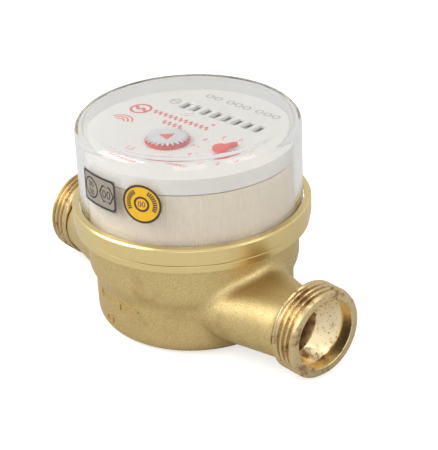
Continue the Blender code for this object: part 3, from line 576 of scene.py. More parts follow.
def loft(bm, rings):
    """Skin through rings of the same number of points, closed at both ends."""
    made = [[bm.verts.new(point) for point in ring] for ring in rings]
    count = len(rings[0])
    for first, second in zip(made, made[1:]):
        for i in range(count):
            bm.faces.new((first[i - 1], first[i], second[i], second[i - 1]))
    bm.faces.new(made[0])
    bm.faces.new(made[-1])
    return made


def neck_shape(side):
    """The straight pipe, and the bulge over the channel that swings to the side of the chamber."""
    bm = bmesh.new()
    stations = [
        (HALF - THREAD_LENGTH - 0.2, (-2.6, 9.7), (-3.6, 9.4)),
        (HALF - 12.0, (-1.8, 9.9), (-4.6, 9.3)),
        (HALF - 17.0, (-0.9, 10.15), (-6.0, 9.2)),
        (HALF - 22.0, (0.0, 10.4), (-7.6, 9.0)),
        (HALF - 28.0, (0.0, 10.4), (-9.4, 8.5)),
        (HALF - 34.0, (0.0, 9.6), (-11.0, 7.8)),
    ]
    rings = [hull_section(side * x, straight, bulge, 48) for x, straight, bulge in stations]
    loft(bm, rings)
    return bm


def channel_shape(side, extra):
    bm = bmesh.new()
    stations = [
        (HALF + 2.0, 0.0, PORT_R),
        (HALF - PORT_DEPTH, 0.0, PORT_R),
        (HALF - THROAT_DEPTH, THROAT_SHIFT, THROAT_R),
        (HALF - 15.0, THROAT_SHIFT - 2.0, 6.0),
        (10.0, -14.7, 5.2),
    ]
    rings = []
    for x, y, radius in stations:
        ring = []
        for i in range(48):
            angle = 2 * pi * i / 48
            reach = radius + extra
            ring.append((side * x, y + reach * cos(angle), PIPE_Z + reach * sin(angle)))
        rings.append(ring)
    loft(bm, rings)
    return bm


def loose(name, bm):
    """A helper object that isn't part of the finished scene."""
    bmesh.ops.recalc_face_normals(bm, faces=bm.faces)
    mesh = bpy.data.meshes.new(name)
    bm.to_mesh(mesh)
    bm.free()
    made = bpy.data.objects.new(name, mesh)
    bpy.context.scene.collection.objects.link(made)
    return made


def apply_modifiers(made):
    """Bakes the object's modifiers into a fresh mesh."""
    bpy.context.view_layer.update()
    graph = bpy.context.evaluated_depsgraph_get()
    mesh = bpy.data.meshes.new_from_object(made.evaluated_get(graph))
    made.modifiers.clear()
    made.data = mesh
    return mesh


# %% Join, remesh and fillet the casting
VOXEL = 0.45
FILLET = 1.8
casting = loose("cast_body", spun(bowl_profile, 128))
tools = []
for side in (-1, 1):
    tools.append((loose("neck", neck_shape(side)), "UNION"))
tools.append((loose("hollow", spun(hollow_profile, 96)), "DIFFERENCE"))
for side in (-1, 1):
    tools.append((loose("channel", channel_shape(side, 0.2)), "DIFFERENCE"))
for tool, operation in tools:
    modifier = casting.modifiers.new(tool.name, "BOOLEAN")
    modifier.object = tool
    modifier.operation = operation
    modifier.solver = "EXACT"
apply_modifiers(casting)
for tool, operation in tools:
    bpy.data.objects.remove(tool)


def add_remesh(made, size):
    modifier = made.modifiers.new("remesh", "REMESH")
    modifier.mode = "VOXEL"
    modifier.voxel_size = size
    modifier.adaptivity = 0.0


def add_offset(made, distance):
    modifier = made.modifiers.new("offset", "DISPLACE")
    modifier.strength = distance
    modifier.mid_level = 0.0


def add_smooth(made, factor, steps):
    modifier = made.modifiers.new("smooth", "SMOOTH")
    modifier.factor = factor
    modifier.iterations = steps


add_remesh(casting, VOXEL)
add_smooth(casting, 0.5, 4)
add_offset(casting, FILLET)
add_remesh(casting, VOXEL)
add_smooth(casting, 0.5, 4)
add_offset(casting, -FILLET)
add_remesh(casting, VOXEL)
add_smooth(casting, 0.5, 8)
mesh = apply_modifiers(casting)
mesh.transform(Matrix.Scale(MM, 4))
mesh.materials.clear()
mesh.materials.append(cast_brass)
mesh.shade_smooth()
print("casting", len(mesh.vertices), "points")
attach(casting, "meter_body")
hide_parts("body_casting")

# %% [markdown]
# The machined flange and the spigot above it are lathe work on the same casting. They are modelled apart
# from it, so their edges stay crisp.

# %% Machined flange and spigot
flange_profile = eased(
    [
        (UPPER_BORE, FLANGE_Z + 0.02),
        (FLANGE_R, FLANGE_Z + 0.02),
        (FLANGE_R, RING_LOW - 0.32),
        (FLANGE_R - 0.7, RING_LOW - 0.28),
        (FLANGE_R - 0.7, SPIGOT_TOP),
        (UPPER_BORE, SPIGOT_TOP),
    ],
    0.18,
)
flange = store("machined_flange", spun(flange_profile, 192), turned_brass, "meter_body")
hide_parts("body_casting")

# %% [markdown]
# ## The threaded ports
#
# A pipe thread is a helix. The outside of each port is a fine grid of points, whose radius depends on how
# far a point is from the nearest turn of the helix. At both ends the depth runs out, as where the cutting
# tool left the work. The same grid runs on round the face, down the bore and along the funnel, so one
# closed piece makes the whole port.

# %% Threads and bores
THREAD_PITCH = 1.814
THREAD_DEPTH = 1.16
CHAMFER = 1.0
ROUND = 144


def thread_radius(distance, turn):
    """Outer radius at this distance from the face and this share of a turn."""
    phase = (distance / THREAD_PITCH + turn) % 1.0
    away = abs(phase - 0.5) * 2
    groove = 0.5 + 0.5 * cos(pi * min(1.0, max(0.0, (away - 0.12) / 0.76)))
    cut = THREAD_DEPTH * groove
    run_out = min(1.0, max(0.0, (THREAD_LENGTH - 0.55 - distance) / 0.9))
    radius = THREAD_R - cut * run_out
    if distance < CHAMFER:
        radius = min(radius, THREAD_R - (CHAMFER - distance))
    back = THREAD_LENGTH - distance
    if back < 0.35:
        radius -= 0.35 - back
    return radius


def port(name, side):
    rings = []
    rows = int(THREAD_LENGTH / 0.09)
    for row in range(rows + 1):
        distance = THREAD_LENGTH * (1 - row / rows)
        ring = []
        for i in range(ROUND):
            angle = 2 * pi * i / ROUND
            radius = thread_radius(distance, -i / ROUND)
            ring.append((distance, 0.0, radius, angle))
        rings.append(ring)
    wall_rows = len(rings)
    stations = [
        (0.04, 0.0, THREAD_R - CHAMFER - 0.12),
        (0.0, 0.0, THREAD_R - CHAMFER - 0.24),
        (0.0, 0.0, PORT_R + 0.5),
        (0.0, 0.0, PORT_R + 0.22),
        (0.07, 0.0, PORT_R + 0.07),
        (0.22, 0.0, PORT_R),
        (PORT_DEPTH - 0.1, 0.0, PORT_R),
        (PORT_DEPTH, 0.0, PORT_R - 0.05),
        (PORT_DEPTH, 0.0, PORT_R - 0.35),
        (PORT_DEPTH + 0.15, -0.1, PORT_R - 0.5),
        ((PORT_DEPTH + THROAT_DEPTH) / 2, THROAT_SHIFT / 2, (PORT_R + THROAT_R - 0.5) / 2),
        (THROAT_DEPTH - 0.2, THROAT_SHIFT * 0.97, THROAT_R + 0.1),
        (THROAT_DEPTH + 0.1, THROAT_SHIFT, THROAT_R - 0.1),
        (THROAT_DEPTH + 2.0, THROAT_SHIFT - 0.6, THROAT_R - 0.6),
        (15.0, THROAT_SHIFT - 2.0, 6.0),
        (26.0, THROAT_SHIFT - 5.0, 5.6),
        (26.0, THROAT_SHIFT - 5.0, 5.75),
        (15.0, THROAT_SHIFT - 2.0, 6.15),
        (THROAT_DEPTH + 0.6, THROAT_SHIFT, THROAT_R + 0.2),
        (THREAD_LENGTH + 0.05, -2.6, 9.0),
    ]
    for distance, y, radius in stations:
        rings.append([(distance, y, radius, 2 * pi * i / ROUND) for i in range(ROUND)])
    bm = bmesh.new()
    made = []
    for ring in rings:
        corners = []
        for distance, y, radius, angle in ring:
            # Mirroring the angle with the side keeps both threads right-handed.
            turn = angle * side
            x = side * (HALF - distance)
            corners.append(bm.verts.new((x, y + radius * cos(turn), PIPE_Z + radius * sin(turn))))
        made.append(corners)
    for number, first in enumerate(made):
        second = made[(number + 1) % len(made)]
        for i in range(ROUND):
            face = bm.faces.new((first[i - 1], first[i], second[i], second[i - 1]))
            if wall_rows + 11 <= number < wall_rows + 18:
                face.material_index = 2
            elif wall_rows + 4 <= number < wall_rows + 11:
                face.material_index = 1
    return store(name, bm, [thread_brass, bore_brass, throat_brass], "meter_body", sharp=50.0)


for side, word in ((-1, "inlet"), (1, "outlet")):
    made = port("threaded_port_" + word, side)
    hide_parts("body_casting")

# %% [markdown]
# ## The clamp ring
#
# The ring screws down over the hood's foot and holds the register on the body. Its top edge has a small
# bright chamfer. It is a plain turned piece, so one spun profile makes it.

# %% Clamp ring
ring_bore = RING_R - 0.85
ring_profile = eased(
    [
        (ring_bore, RING_LOW),
        (RING_R - 0.15, RING_LOW),
        (RING_R, RING_LOW + 0.15),
        (RING_R, RING_TOP - 0.55),
        (RING_R - 0.5, RING_TOP),
        (HOOD_R + 0.3, RING_TOP),
        (HOOD_R + 0.3, RING_TOP - 1.0),
        (ring_bore, RING_TOP - 1.0),
    ],
    0.1,
)
ring = store("clamp_ring_turned", spun(ring_profile, 256), turned_brass, "meter_body")
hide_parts("clamp_ring")

# %% [markdown]
# ## The hood
#
# The hood is one thick moulding: an upright wall, a broad round rim and a flat roof. The roundings inside
# and outside have different radii, and that difference is what bends the picture of the dial near the
# rim.

# %% Clear hood
RIM = 3.4
ROOF = 1.7
GATE_R = 1.9
hood_inner = HOOD_R - HOOD_WALL
hood_profile = [
    (hood_inner, HOOD_LOW),
    (HOOD_FOOT_R - 0.15, HOOD_LOW),
    (HOOD_FOOT_R, HOOD_LOW + 0.15),
    (HOOD_FOOT_R, HOOD_LOW + 1.35),
    (HOOD_FOOT_R - 0.15, HOOD_LOW + 1.5),
    (HOOD_R + 0.3, HOOD_LOW + 1.5),
    (HOOD_R, HOOD_LOW + 1.8),
    (HOOD_R, HOOD_TOP - RIM - 0.2),
    *arc((HOOD_R - RIM, HOOD_TOP - RIM), RIM, 0, 90, 18),
    (HOOD_R - RIM - 0.2, HOOD_TOP),
    (GATE_R + 0.2, HOOD_TOP),
    (GATE_R, HOOD_TOP),
    (GATE_R - 0.2, HOOD_TOP - 0.15),
    (0.0, HOOD_TOP - 0.15),
    (0.0, HOOD_TOP - ROOF),
    (hood_inner - 1.6, HOOD_TOP - ROOF),
    *arc((hood_inner - 1.4, HOOD_TOP - ROOF - 1.4), 1.4, 90, 0, 10),
    (hood_inner, HOOD_TOP - ROOF - 1.6),
]
hood = store("clear_hood", spun(hood_profile, 256), acrylic, "register", sharp=40.0)
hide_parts("hood")

# %% [markdown]
# ## The ribbed cup
#
# The cup under the dial is moulded with hundreds of fine upright ribs, which hide the gears behind it.
# Each rib is a real ridge: the wall's radius rises and falls once per rib, four points to a rib.

# %% Register cup
RIBS = 240
RIB_DEPTH = 0.08
cup_inner = CUP_R - 1.8
cup_low = low("register_cup").z
cup_top = high("register_cup").z
cup_low_r = 27.9
cup_profile = [
    (0.0, cup_low, 0.0),
    (cup_low_r, cup_low, 0.0),
    (cup_low_r, HOOD_LOW, 0.0),
    (CUP_R - RIB_DEPTH, HOOD_LOW, 0.0),
    (CUP_R - RIB_DEPTH, HOOD_LOW + 0.4, 1.0),
    (CUP_R - RIB_DEPTH, SKIRT_Z - 0.7, 1.0),
    (CUP_R - RIB_DEPTH, SKIRT_Z - 0.3, 0.0),
    (CUP_R - 1.0, SKIRT_Z - 0.3, 0.0),
    (CUP_R - 1.0, cup_top, 0.0),
    (cup_inner, cup_top, 0.0),
    (cup_inner, 36.9, 0.0),
    (26.8, 36.9, 0.0),
    (26.8, 29.4, 0.0),
    (0.0, 29.4, 0.0),
]


def ribbed_cup():
    steps = RIBS * 4
    bm = spun([(radius, z) for radius, z, share in cup_profile], steps)
    ribbed = [z for radius, z, share in cup_profile if share]
    for vert in bm.verts:
        if any(abs(vert.co.z - z) < 1e-4 for z in ribbed) and hypot(vert.co.x, vert.co.y) > CUP_R - 0.5:
            angle = atan2(vert.co.y, vert.co.x)
            grow = 1 + RIB_DEPTH * cos(angle * RIBS) / CUP_R
            vert.co.x *= grow
            vert.co.y *= grow
    return bm


cup = store("ribbed_cup", ribbed_cup(), cream, "register", sharp=50.0)
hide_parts("register_cup")

# %% [markdown]
# ## The dial plate
#
# The dial is a thin white moulding with a skirt that drops over the cup. It is pierced by eight windows,
# the round hole of the flow star and the small hole of the pointer's shaft. It is built in flat slices,
# and each slice is bounded by outlines that the next one may keep.

# %% Flat-slice helper


def circle(radius, segments, centre=(0.0, 0.0)):
    points = []
    for i in range(segments):
        angle = 2 * pi * i / segments
        points.append((centre[0] + radius * cos(angle), centre[1] + radius * sin(angle)))
    return points


def rounded_box(centre, width, height, radius, steps=4):
    points = []
    for x, y, start in ((1, 1, 0), (-1, 1, 90), (-1, -1, 180), (1, -1, 270)):
        corner = (centre[0] + x * (width / 2 - radius), centre[1] + y * (height / 2 - radius))
        points += arc(corner, radius, start, start + 90, steps)
    return points


def layered(layers):
    """A bmesh of stacked slices (low z, high z, [outlines]); an outline kept by the next slice runs on."""
    bm = bmesh.new()
    rings = {}

    def ring(loop, z):
        key = (id(loop), round(z, 6))
        if key not in rings:
            corners = [bm.verts.new((x, y, z)) for x, y in loop]
            edges = [bm.edges.new((corners[i - 1], corners[i])) for i in range(len(corners))]
            rings[key] = (corners, edges)
        return rings[key]

    for base, top, loops in layers:
        for loop in loops:
            below = ring(loop, base)[0]
            above = ring(loop, top)[0]
            for i in range(len(loop)):
                bm.faces.new((below[i - 1], below[i], above[i], above[i - 1]))
    levels = [layers[0][0]] + [layer[1] for layer in layers]
    for number, z in enumerate(levels):
        under = layers[number - 1][2] if number > 0 else []
        over = layers[number][2] if number < len(layers) else []
        changed = [loop for loop in under if not any(loop is other for other in over)]
        changed += [loop for loop in over if not any(loop is other for other in under)]
        edges = []
        for loop in changed:
            edges += ring(loop, z)[1]
        if edges:
            bmesh.ops.triangle_fill(bm, use_beauty=True, use_dissolve=False, edges=edges)
    return bm


# %% Dial plate
ROLLERS = 8
roller_places = [on_dial(joint_point("roller_%d_spin" % (i + 1))) for i in range(ROLLERS)]
STAR_HUB_R = 5.5
STAR_RIM_R = 6.4
STAR_R = 6.3
windows = [rounded_box(at, 2.4, 4.8, 0.25) for at in roller_places]
dial_rim = circle(CUP_R, 192)
holes = [circle(STAR_HUB_R + 0.4, 96, STAR_AT), circle(0.9, 32, POINTER_AT)] + windows
dial_layers = [
    (SKIRT_Z, DIAL_TOP - 1.0, [dial_rim, circle(CUP_R - 0.7, 192)]),
    (DIAL_TOP - 1.0, DIAL_TOP - 0.001, [dial_rim] + holes),
]
dial = store("printed_dial", layered(dial_layers), dial_white, "register", dial_frame, sharp=30.0)
bevel = dial.modifiers.new("edge", "BEVEL")
bevel.width = 0.00012
bevel.segments = 2
bevel.limit_method = "ANGLE"
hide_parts("dial_plate")

# %% [markdown]
# ## Printing
#
# Prints are thin films, modelled flat and then laid on the surface: straight up on the dial, or wrapped
# round the hood for the labels and round a drum for its digits. The lettering is numbers only. Where the
# real dial has names and marks, plain waves, drops and bars take their place.

# %% Flat print helpers


def add_polygon(bm, points):
    bm.faces.new([bm.verts.new((x, y, 0.0)) for x, y in points])


def add_band(bm, inner, outer, closed=True):
    """A strip between two outlines with the same number of points."""
    first = [bm.verts.new((x, y, 0.0)) for x, y in inner]
    second = [bm.verts.new((x, y, 0.0)) for x, y in outer]
    for i in range(0 if closed else 1, len(first)):
        bm.faces.new((first[i - 1], first[i], second[i], second[i - 1]))


def add_ring(bm, centre, radius, width, segments=64):
    add_band(bm, circle(radius - width, segments, centre), circle(radius, segments, centre))


def add_line(bm, points, width):
    """A line of even width through the points."""
    left, right = [], []
    for i, point in enumerate(points):
        before = Vector(points[max(i - 1, 0)])
        after = Vector(points[min(i + 1, len(points) - 1)])
        ahead = (after - before).normalized()
        side = Vector((-ahead.y, ahead.x)) * width / 2
        left.append(tuple(Vector(point) + side))
        right.append(tuple(Vector(point) - side))
    add_band(bm, left, right, closed=False)


def add_text(bm, text, height, at, turn=0.0, stretch=1.0):
    """Number glyphs, centred at a point."""
    curve = bpy.data.curves.new("glyph", "FONT")
    curve.body = text
    curve.size = height * 1.38
    curve.align_x = "CENTER"
    curve.align_y = "CENTER"
    curve.resolution_u = 4
    made = bpy.data.objects.new("glyph", curve)
    bpy.context.scene.collection.objects.link(made)
    bpy.context.view_layer.update()
    graph = bpy.context.evaluated_depsgraph_get()
    mesh = bpy.data.meshes.new_from_object(made.evaluated_get(graph))
    xs = [v.co.x for v in mesh.vertices]
    ys = [v.co.y for v in mesh.vertices]
    middle = Vector(((min(xs) + max(xs)) / 2, (min(ys) + max(ys)) / 2))
    c, s = cos(turn), sin(turn)
    corners = []
    for vertex in mesh.vertices:
        x = (vertex.co.x - middle.x) * stretch
        y = vertex.co.y - middle.y
        corners.append(bm.verts.new((at[0] + x * c - y * s, at[1] + x * s + y * c, 0.0)))
    for polygon in mesh.polygons:
        bm.faces.new([corners[i] for i in polygon.vertices])
    bpy.data.objects.remove(made)
    bpy.data.curves.remove(curve)
    bpy.data.meshes.remove(mesh)


FILM = 0.025


def raise_film(bm, lay, thickness=FILM):
    """Thickens the flat print into closed film and lays each point: lay(x, y, height) gives its place."""
    bmesh.ops.remove_doubles(bm, verts=bm.verts, dist=1e-5)
    bmesh.ops.recalc_face_normals(bm, faces=bm.faces)
    for face in bm.faces:
        if face.normal.z < 0:
            face.normal_flip()
    bmesh.ops.solidify(bm, geom=bm.faces[:], thickness=thickness)
    lowest = min(v.co.z for v in bm.verts)
    for vertex in bm.verts:
        vertex.co = Vector(lay(vertex.co.x, vertex.co.y, vertex.co.z - lowest))
    return bm


def lay_on_dial(x, y, height):
    return dial_frame @ Vector((x, y, DIAL_TOP + height))


# %% Red print of the dial
red_bm = bmesh.new()
drop_at = (-21.4, 2.5)
add_ring(red_bm, drop_at, 3.4, 0.8)
wave = [(drop_at[0] - 2.6 + 5.2 * i / 24, drop_at[1] + 0.6 * sin(2 * pi * i / 12)) for i in range(25)]
add_line(red_bm, wave, 0.9)
badge_at = (-20.5, -7.6)
for k in range(3):
    reach = 1.5 + 1.25 * k
    add_line(red_bm, arc(badge_at, reach, 20, 160, 12), 0.5)
for count, pitch, at in ((11, 2.0, (-6.4, 3.6)), (4, 2.0, (-6.1, -0.3))):
    for i in range(count):
        x = at[0] + (i - (count - 1) / 2) * pitch
        line = [(x - 0.75 + 1.5 * k / 12, at[1] + 1.05 * sin(2 * pi * k / 12)) for k in range(13)]
        add_line(red_bm, line, 0.45)
add_polygon(red_bm, circle(0.55, 20, (3.6, 6.6)))
SCALE_R = 8.5
for digit in range(10):
    angle = radians(90.0 - 36.0 * digit)
    at = (POINTER_AT[0] + SCALE_R * cos(angle), POINTER_AT[1] + SCALE_R * sin(angle))
    clear_of_rim = hypot(*at) < CUP_R - 1.6
    clear_of_star = hypot(at[0] - STAR_AT[0], at[1] - STAR_AT[1]) > STAR_RIM_R + 1.0
    if clear_of_rim and clear_of_star:
        add_text(red_bm, str(digit), 1.7, at)
    tick = [(POINTER_AT[0] + r * cos(angle), POINTER_AT[1] + r * sin(angle)) for r in (6.4, 7.2)]
    if hypot(*tick[1]) < CUP_R - 0.8:
        add_line(red_bm, tick, 0.25)
add_text(red_bm, "0,0001", 1.9, (12.6, -18.2), 0.0)
add_text(red_bm, "1,5", 2.0, (-4.2, -19.2), 0.0)
for i in range(7):
    add_polygon(red_bm, rounded_box((-6.5 + 1.5 * i, -24.4), 1.0, 1.3, 0.1))
red_film = store("dial_red_print", raise_film(red_bm, lay_on_dial), red_print, "register")

# %% Grey and black print of the dial
grey_bm = bmesh.new()
add_text(grey_bm, "00 000 000", 2.6, (1.4, 21.8), 0.0, 1.75)
grey_film = store("dial_grey_print", raise_film(grey_bm, lay_on_dial), grey_print, "register")

black_bm = bmesh.new()
frame_at = (roller_places[0][0] - 4.3, roller_places[0][1])
add_ring(black_bm, frame_at, 1.7, 0.2)
add_line(black_bm, [(frame_at[0] - 1.2, frame_at[1]), (frame_at[0] + 1.2, frame_at[1])], 0.2)
store("dial_black_print", raise_film(black_bm, lay_on_dial), black_print, "register")

# %% [markdown]
# ## Number rollers
#
# Each roller is a white drum with the ten digits round it, black for whole cubic metres and red for the
# decimals. A gear ring stands beside the drum. As a drum turns, the next digit rises from the lower edge
# of its window.

# %% Gear outline


def gear(teeth, module, phase=0.0):
    root = module * (teeth / 2 - 1.15)
    tip = module * (teeth / 2 + 0.85)
    step = 2 * pi / teeth
    half_root = min(1.05 * module / root, 0.36 * step)
    half_tip = 0.36 * module / tip
    outline = []
    for i in range(teeth):
        centre = radians(phase) + i * step
        for radius, side in ((root, -half_root), (tip, -half_tip), (tip, half_tip), (root, half_root)):
            outline.append((radius * cos(centre + side), radius * sin(centre + side)))
    return outline


# %% Drums with their digits
DRUM_R = 4.3
DRUM_WIDTH = 2.7
ALONG_X = Matrix.Rotation(radians(90), 4, "Y")
for number in range(ROLLERS):
    body = "roller_%d" % (number + 1)
    node = "number_roller_%d" % (number + 1)
    centre = joint_point(body + "_spin")
    place = Matrix.Translation(centre) @ dial_frame @ ALONG_X
    rim = circle(DRUM_R, 72)
    edge = circle(DRUM_R - 0.12, 72)
    bore = circle(0.95, 24)
    half = DRUM_WIDTH / 2
    slices = [(-half, -half + 0.08, [edge, bore]), (-half + 0.08, half - 0.08, [rim, bore])]
    slices.append((half - 0.08, half, [edge, bore]))
    if number < ROLLERS - 1:
        slices.append((half, half + 1.0, [gear(20, 0.36), bore]))
    else:
        start = half + 1.9
        slices.append((half, start, [circle(2.0, 32), bore]))
        slices.append((start, start + 2.0, [gear(10, 0.6, 108.0), bore]))
    drum = store(node + "_drum", layered(slices), drum_white, body, place)
    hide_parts(node)
    digits = bmesh.new()
    for digit in range(10):
        add_text(digits, str(digit), 2.1, (0.0, -digit * 2 * pi * DRUM_R / 10), 0.0, 0.95)

    def lay_on_drum(x, y, height):
        angle = y / DRUM_R
        radius = DRUM_R + height
        local = Vector((x, radius * sin(angle), radius * cos(angle)))
        return centre + dial_frame @ local

    ink = black_print if number < 5 else red_print
    store(node + "_digits", raise_film(digits, lay_on_drum), ink, body)

# %% [markdown]
# ## Flow star and pointer
#
# The star spins even at a dripping tap, which makes it the leak indicator. Its hub turns in a hole of the
# dial, a red rim hangs over the edge, and a pale face with pointed teeth and a red triangle sits on top.
# The pointer counts the smallest amounts. Both are stacks of flat slices, like the dial.

# %% Flow star
star_top = high("flow_star").z
star_low = low("flow_star").z


def upright_place(joint, turn=0.0):
    """The place of a wheel on the dial, standing on the axis of its joint and turned in degrees."""
    at = joint_point(joint)
    return Matrix.Translation((at.x, at.y, 0.0)) @ dial_frame @ Matrix.Rotation(radians(turn), 4, "Z")


def pointed(tip, root, teeth):
    points = []
    for i in range(teeth):
        for radius, part in ((root, -0.5), (tip, -0.07), (tip, 0.07)):
            angle = 2 * pi * (i + part) / teeth
            points.append((radius * cos(angle), radius * sin(angle)))
    return points


star_place = upright_place("star_arbor_spin")
rim_z = DIAL_TOP + 0.3
bore = circle(0.6, 16)
wheel_slices = [
    (star_low, rim_z, [circle(STAR_HUB_R, 96), bore]),
    (rim_z, rim_z + 0.12, [circle(STAR_RIM_R - 0.12, 96), bore]),
    (rim_z + 0.12, rim_z + 0.35, [circle(STAR_RIM_R, 96)]),
    (rim_z + 0.35, star_top - 0.3, [circle(STAR_R - 1.6, 96)]),
]
wheel = store("flow_star_wheel", layered(wheel_slices), red, "star_arbor", star_place)
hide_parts("flow_star")
face_slices = [(star_top - 0.3, star_top, [pointed(STAR_R, STAR_R - 1.8, 24)])]
face = store("flow_star_face", layered(face_slices), star_grey, "star_arbor", star_place)
triangle = bmesh.new()
TRIANGLE_R = 2.7
turns = [radians(-45 + 120 * k) for k in range(3)]
add_polygon(triangle, [(TRIANGLE_R * cos(turn), TRIANGLE_R * sin(turn)) for turn in turns])
raise_film(triangle, lambda x, y, h: star_place @ Vector((x, y, star_top + h)))
mark = store("flow_star_mark", triangle, red_print, "star_arbor")

# %% Pointer
pointer_low = low("pointer").z
pointer_top = high("pointer").z
BLADE_END = 5.4
BLADE_HALF = 0.85
blade = arc((0.0, 0.0), 2.3, 25, 335, 30)
blade += arc((BLADE_END - BLADE_HALF, 0.0), BLADE_HALF, -90, 90, 10)
blade_top = [(x * 0.96, y * 0.92) for x, y in blade]
blade_slices = [(pointer_low, pointer_top - 0.2, [blade]), (pointer_top - 0.2, pointer_top, [blade_top])]
POINTER_HEADING = 72.0
pointer_place = upright_place("pointer_arbor_spin", POINTER_HEADING)
pointer = store("pointer_blade", layered(blade_slices), red, "pointer_arbor", pointer_place)
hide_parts("pointer")

# %% [markdown]
# ## Labels on the hood
#
# Two films are stuck to the outside of the hood. Each is a sheet with its print in black: an outlined
# plate with a ring and a hexagon, and a round seal with a ring of bars. They are drawn flat and bent
# round the hood.

# %% Label films
LABEL_Z = 49.55


def lay_on_hood(heading, z, lift):
    def lay(x, y, height):
        angle = radians(heading) + x / HOOD_R
        radius = HOOD_R + 0.06 + lift + height
        return Vector((radius * cos(angle), radius * sin(angle), z + y))

    return lay


def grid_fill(bm, half_width, half_height, columns):
    """A flat sheet in upright strips, so that it bends smoothly."""
    rows = []
    for i in range(columns + 1):
        x = half_width * (2 * i / columns - 1)
        rows.append((bm.verts.new((x, -half_height(x), 0)), bm.verts.new((x, half_height(x), 0))))
    for first, second in zip(rows, rows[1:]):
        bm.faces.new((first[0], second[0], second[1], first[1]))


GREY_HEADING = -91.5
sheet = bmesh.new()
grid_fill(sheet, 7.25, lambda x: 4.85, 40)
raise_film(sheet, lay_on_hood(GREY_HEADING, LABEL_Z, 0), 0.1)
label = store("grey_label_film", sheet, film_grey, "register")
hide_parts("approval_label")
ink_bm = bmesh.new()
add_band(ink_bm, rounded_box((0, 0), 13.0, 8.2, 0.9, 12), rounded_box((0, 0), 14.3, 9.5, 1.3, 12))
long_edges = [edge for edge in ink_bm.edges if edge.calc_length() > 2]
bmesh.ops.subdivide_edges(ink_bm, edges=long_edges, cuts=14, use_grid_fill=True)
add_ring(ink_bm, (-3.2, 0.0), 3.2, 0.5)
add_text(ink_bm, "00", 1.9, (-3.2, 1.1))
add_text(ink_bm, "00", 1.9, (-3.2, -1.3))
hexagon_out = circle(3.0, 6, (3.6, 0.0))
hexagon_in = circle(2.45, 6, (3.6, 0.0))
add_band(ink_bm, hexagon_in, hexagon_out)
add_text(ink_bm, "00", 2.5, (3.6, 0.0))
raise_film(ink_bm, lay_on_hood(GREY_HEADING, LABEL_Z, 0.1))
store("grey_label_print", ink_bm, black_print, "register")

YELLOW_HEADING = -64.0
DISC_R = 5.8
sheet = bmesh.new()
grid_fill(sheet, DISC_R * 0.998, lambda x: sqrt(DISC_R**2 - x**2), 48)
raise_film(sheet, lay_on_hood(YELLOW_HEADING, LABEL_Z, 0), 0.1)
label = store("yellow_label_film", sheet, film_yellow, "register")
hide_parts("calibration_label")
ink_bm = bmesh.new()
add_ring(ink_bm, (0, 0), DISC_R - 0.05, 0.65, 96)
for k in range(34):
    angle = radians(-62 + 304 * k / 33)
    if 3 < k < 30 and k not in (14, 15, 16, 17, 18, 19):
        inner = (3.3 * cos(angle), 3.3 * sin(angle))
        outer = (4.6 * cos(angle), 4.6 * sin(angle))
        add_line(ink_bm, [inner, outer], 0.42)
add_ring(ink_bm, (0, 0), 2.3, 0.6)
add_text(ink_bm, "00", 1.7, (0.0, 0.0))
raise_film(ink_bm, lay_on_hood(YELLOW_HEADING, LABEL_Z, 0.1))
store("yellow_label_print", ink_bm, black_print, "register")

# %% [markdown]
# ## The flow arrow
#
# The flow direction is cast on the side of the bowl as a low raised arrow. It is drawn flat and bent
# round the bowl, like the labels, but thicker.

# %% Cast arrow


def lay_on_bowl(heading, z):
    def lay(x, y, height):
        angle = radians(heading) + x / BOWL_R
        radius = BOWL_R - 0.15 + height
        return Vector((radius * cos(angle), radius * sin(angle), z + y))

    return lay


arrow_bm = bmesh.new()
add_line(arrow_bm, [(-8.5 + 10.0 * i / 12, 0.0) for i in range(13)], 0.45)
add_line(arrow_bm, [(-8.5, -1.2), (-8.5, 1.2)], 0.45)
add_line(arrow_bm, [(1.5, 1.4), (5.0, 0.0), (1.5, -1.4), (1.5, 1.4)], 0.5)
add_line(arrow_bm, [(5.0 + 3.5 * i / 5, 0.0) for i in range(6)], 0.45)
add_ring(arrow_bm, (-4.0, -6.4), 1.7, 0.45)
raise_film(arrow_bm, lay_on_bowl(-91.0, 12.4), 0.45)
arrow = store("cast_flow_arrow", arrow_bm, cast_brass, "meter_body")
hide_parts("body_casting")

# %% [markdown]
# ## Finishes of the inner works
#
# The pieces inside keep their CAD shape. They get the same kinds of finish as the outside, so that they
# look right through the clear parts and when the meter is taken apart.

# %% Assign the inner finishes
finish_of_slot = {
    "cast_brass": cast_brass,
    "turned_brass": turned_brass,
    "clear_plastic": acrylic,
    "cream_plastic": cream,
    "white_plastic": drum_white,
    "grey_plastic": dark_grey,
    "red_plastic": red,
    "gear_plastic": gear_white,
    "steel": steel,
    "ferrite": ferrite,
    "seal_rubber": rubber,
    "grey_label": film_grey,
    "yellow_label": film_yellow,
}
for entry in record["subparts"]:
    node = frame["nodes"][entry["node"]]
    node.data.materials.clear()
    node.data.materials.append(finish_of_slot[entry["material_slot"]])
print("finished", len(record["subparts"]), "CAD nodes")

# %% [markdown]
# ## Floor, light and camera
#
# The meter stands on a plain pale floor in an even, bright room, with three large soft lamps. The floor
# glows for camera rays only, so it looks white while the brass and the hood mirror a softer grey. Light
# has to pass many surfaces in the hood, so more bounces are allowed than usual.

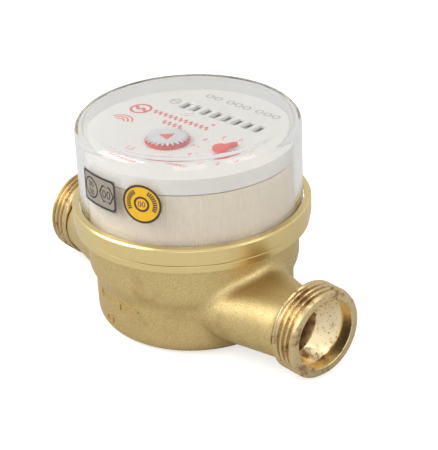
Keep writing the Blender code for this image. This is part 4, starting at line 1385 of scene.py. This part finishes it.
# %% Floor
floor_bm = bmesh.new()
bmesh.ops.create_grid(floor_bm, x_segments=2, y_segments=2, size=3000.0)
floor_finish, tree, shader = shader_of("studio floor", 0.9)
paper = place_group(tree, grain, Scale=40.0, Coarse=0.5)
paper_colour = mix_colours(tree, paper.outputs["Mask"], (0.64, 0.64, 0.63), (0.67, 0.67, 0.66))
tree.links.new(paper_colour, shader.inputs["Base Color"])
shader.inputs["Emission Color"].default_value = (1.0, 1.0, 1.0, 1.0)
rays = tree.nodes.new("ShaderNodeLightPath")
FLOOR_GLOW = 0.6
glow = math(tree, "MULTIPLY", rays.outputs["Is Camera Ray"], FLOOR_GLOW)
tree.links.new(glow, shader.inputs["Emission Strength"])
floor = store("floor", floor_bm, floor_finish, None, Matrix.Translation((0, 0, -0.02)))

# %% Light
world = bpy.data.worlds.new("studio")
bpy.context.scene.world = world
world.use_nodes = True
tree = world.node_tree
background = tree.nodes["Background"]
background.inputs["Color"].default_value = (1.0, 1.0, 1.0, 1.0)
background.inputs["Strength"].default_value = 0.82


def softbox(name, at, aim, size, power):
    lamp = bpy.data.lights.new(name, "AREA")
    lamp.shape = "RECTANGLE"
    lamp.size, lamp.size_y = size[0] * MM, size[1] * MM
    lamp.energy = power
    made = bpy.data.objects.new(name, lamp)
    made.location = Vector(at) * MM
    heading = (Vector(aim) - Vector(at)).normalized()
    made.rotation_euler = heading.to_track_quat("-Z", "Y").to_euler()
    bpy.context.scene.collection.objects.link(made)


softbox("key_light", (-250, -420, 400), (0, 0, 30), (420, 420), 1.9)
softbox("fill_light", (520, 120, 300), (0, 0, 30), (300, 300), 0.6)
softbox("front_light", (400, -330, 220), (0, 0, 40), (300, 300), 0.45)

# %% Camera
camera_data = bpy.data.cameras.new("camera")
camera_data.lens = 123.49
camera_data.sensor_width = 36.0
camera = bpy.data.objects.new("camera", camera_data)
bpy.context.scene.collection.objects.link(camera)
look = Vector((-0.67691, 0.57380, -0.46103)).normalized()
above = Vector((-0.32517, 0.32880, 0.88665))
side_way = look.cross(above).normalized()
above = side_way.cross(look)
rotation = Matrix((side_way, above, -look)).transposed().to_4x4()
camera.matrix_world = Matrix.Translation(Vector((311.179, -253.845, 235.496)) * MM) @ rotation
bpy.context.scene.camera = camera
bpy.context.scene.view_settings.view_transform = "Standard"
BOUNCES = 24
bpy.context.scene.cycles.max_bounces = BOUNCES
bpy.context.scene.cycles.glossy_bounces = BOUNCES
bpy.context.scene.cycles.transmission_bounces = BOUNCES
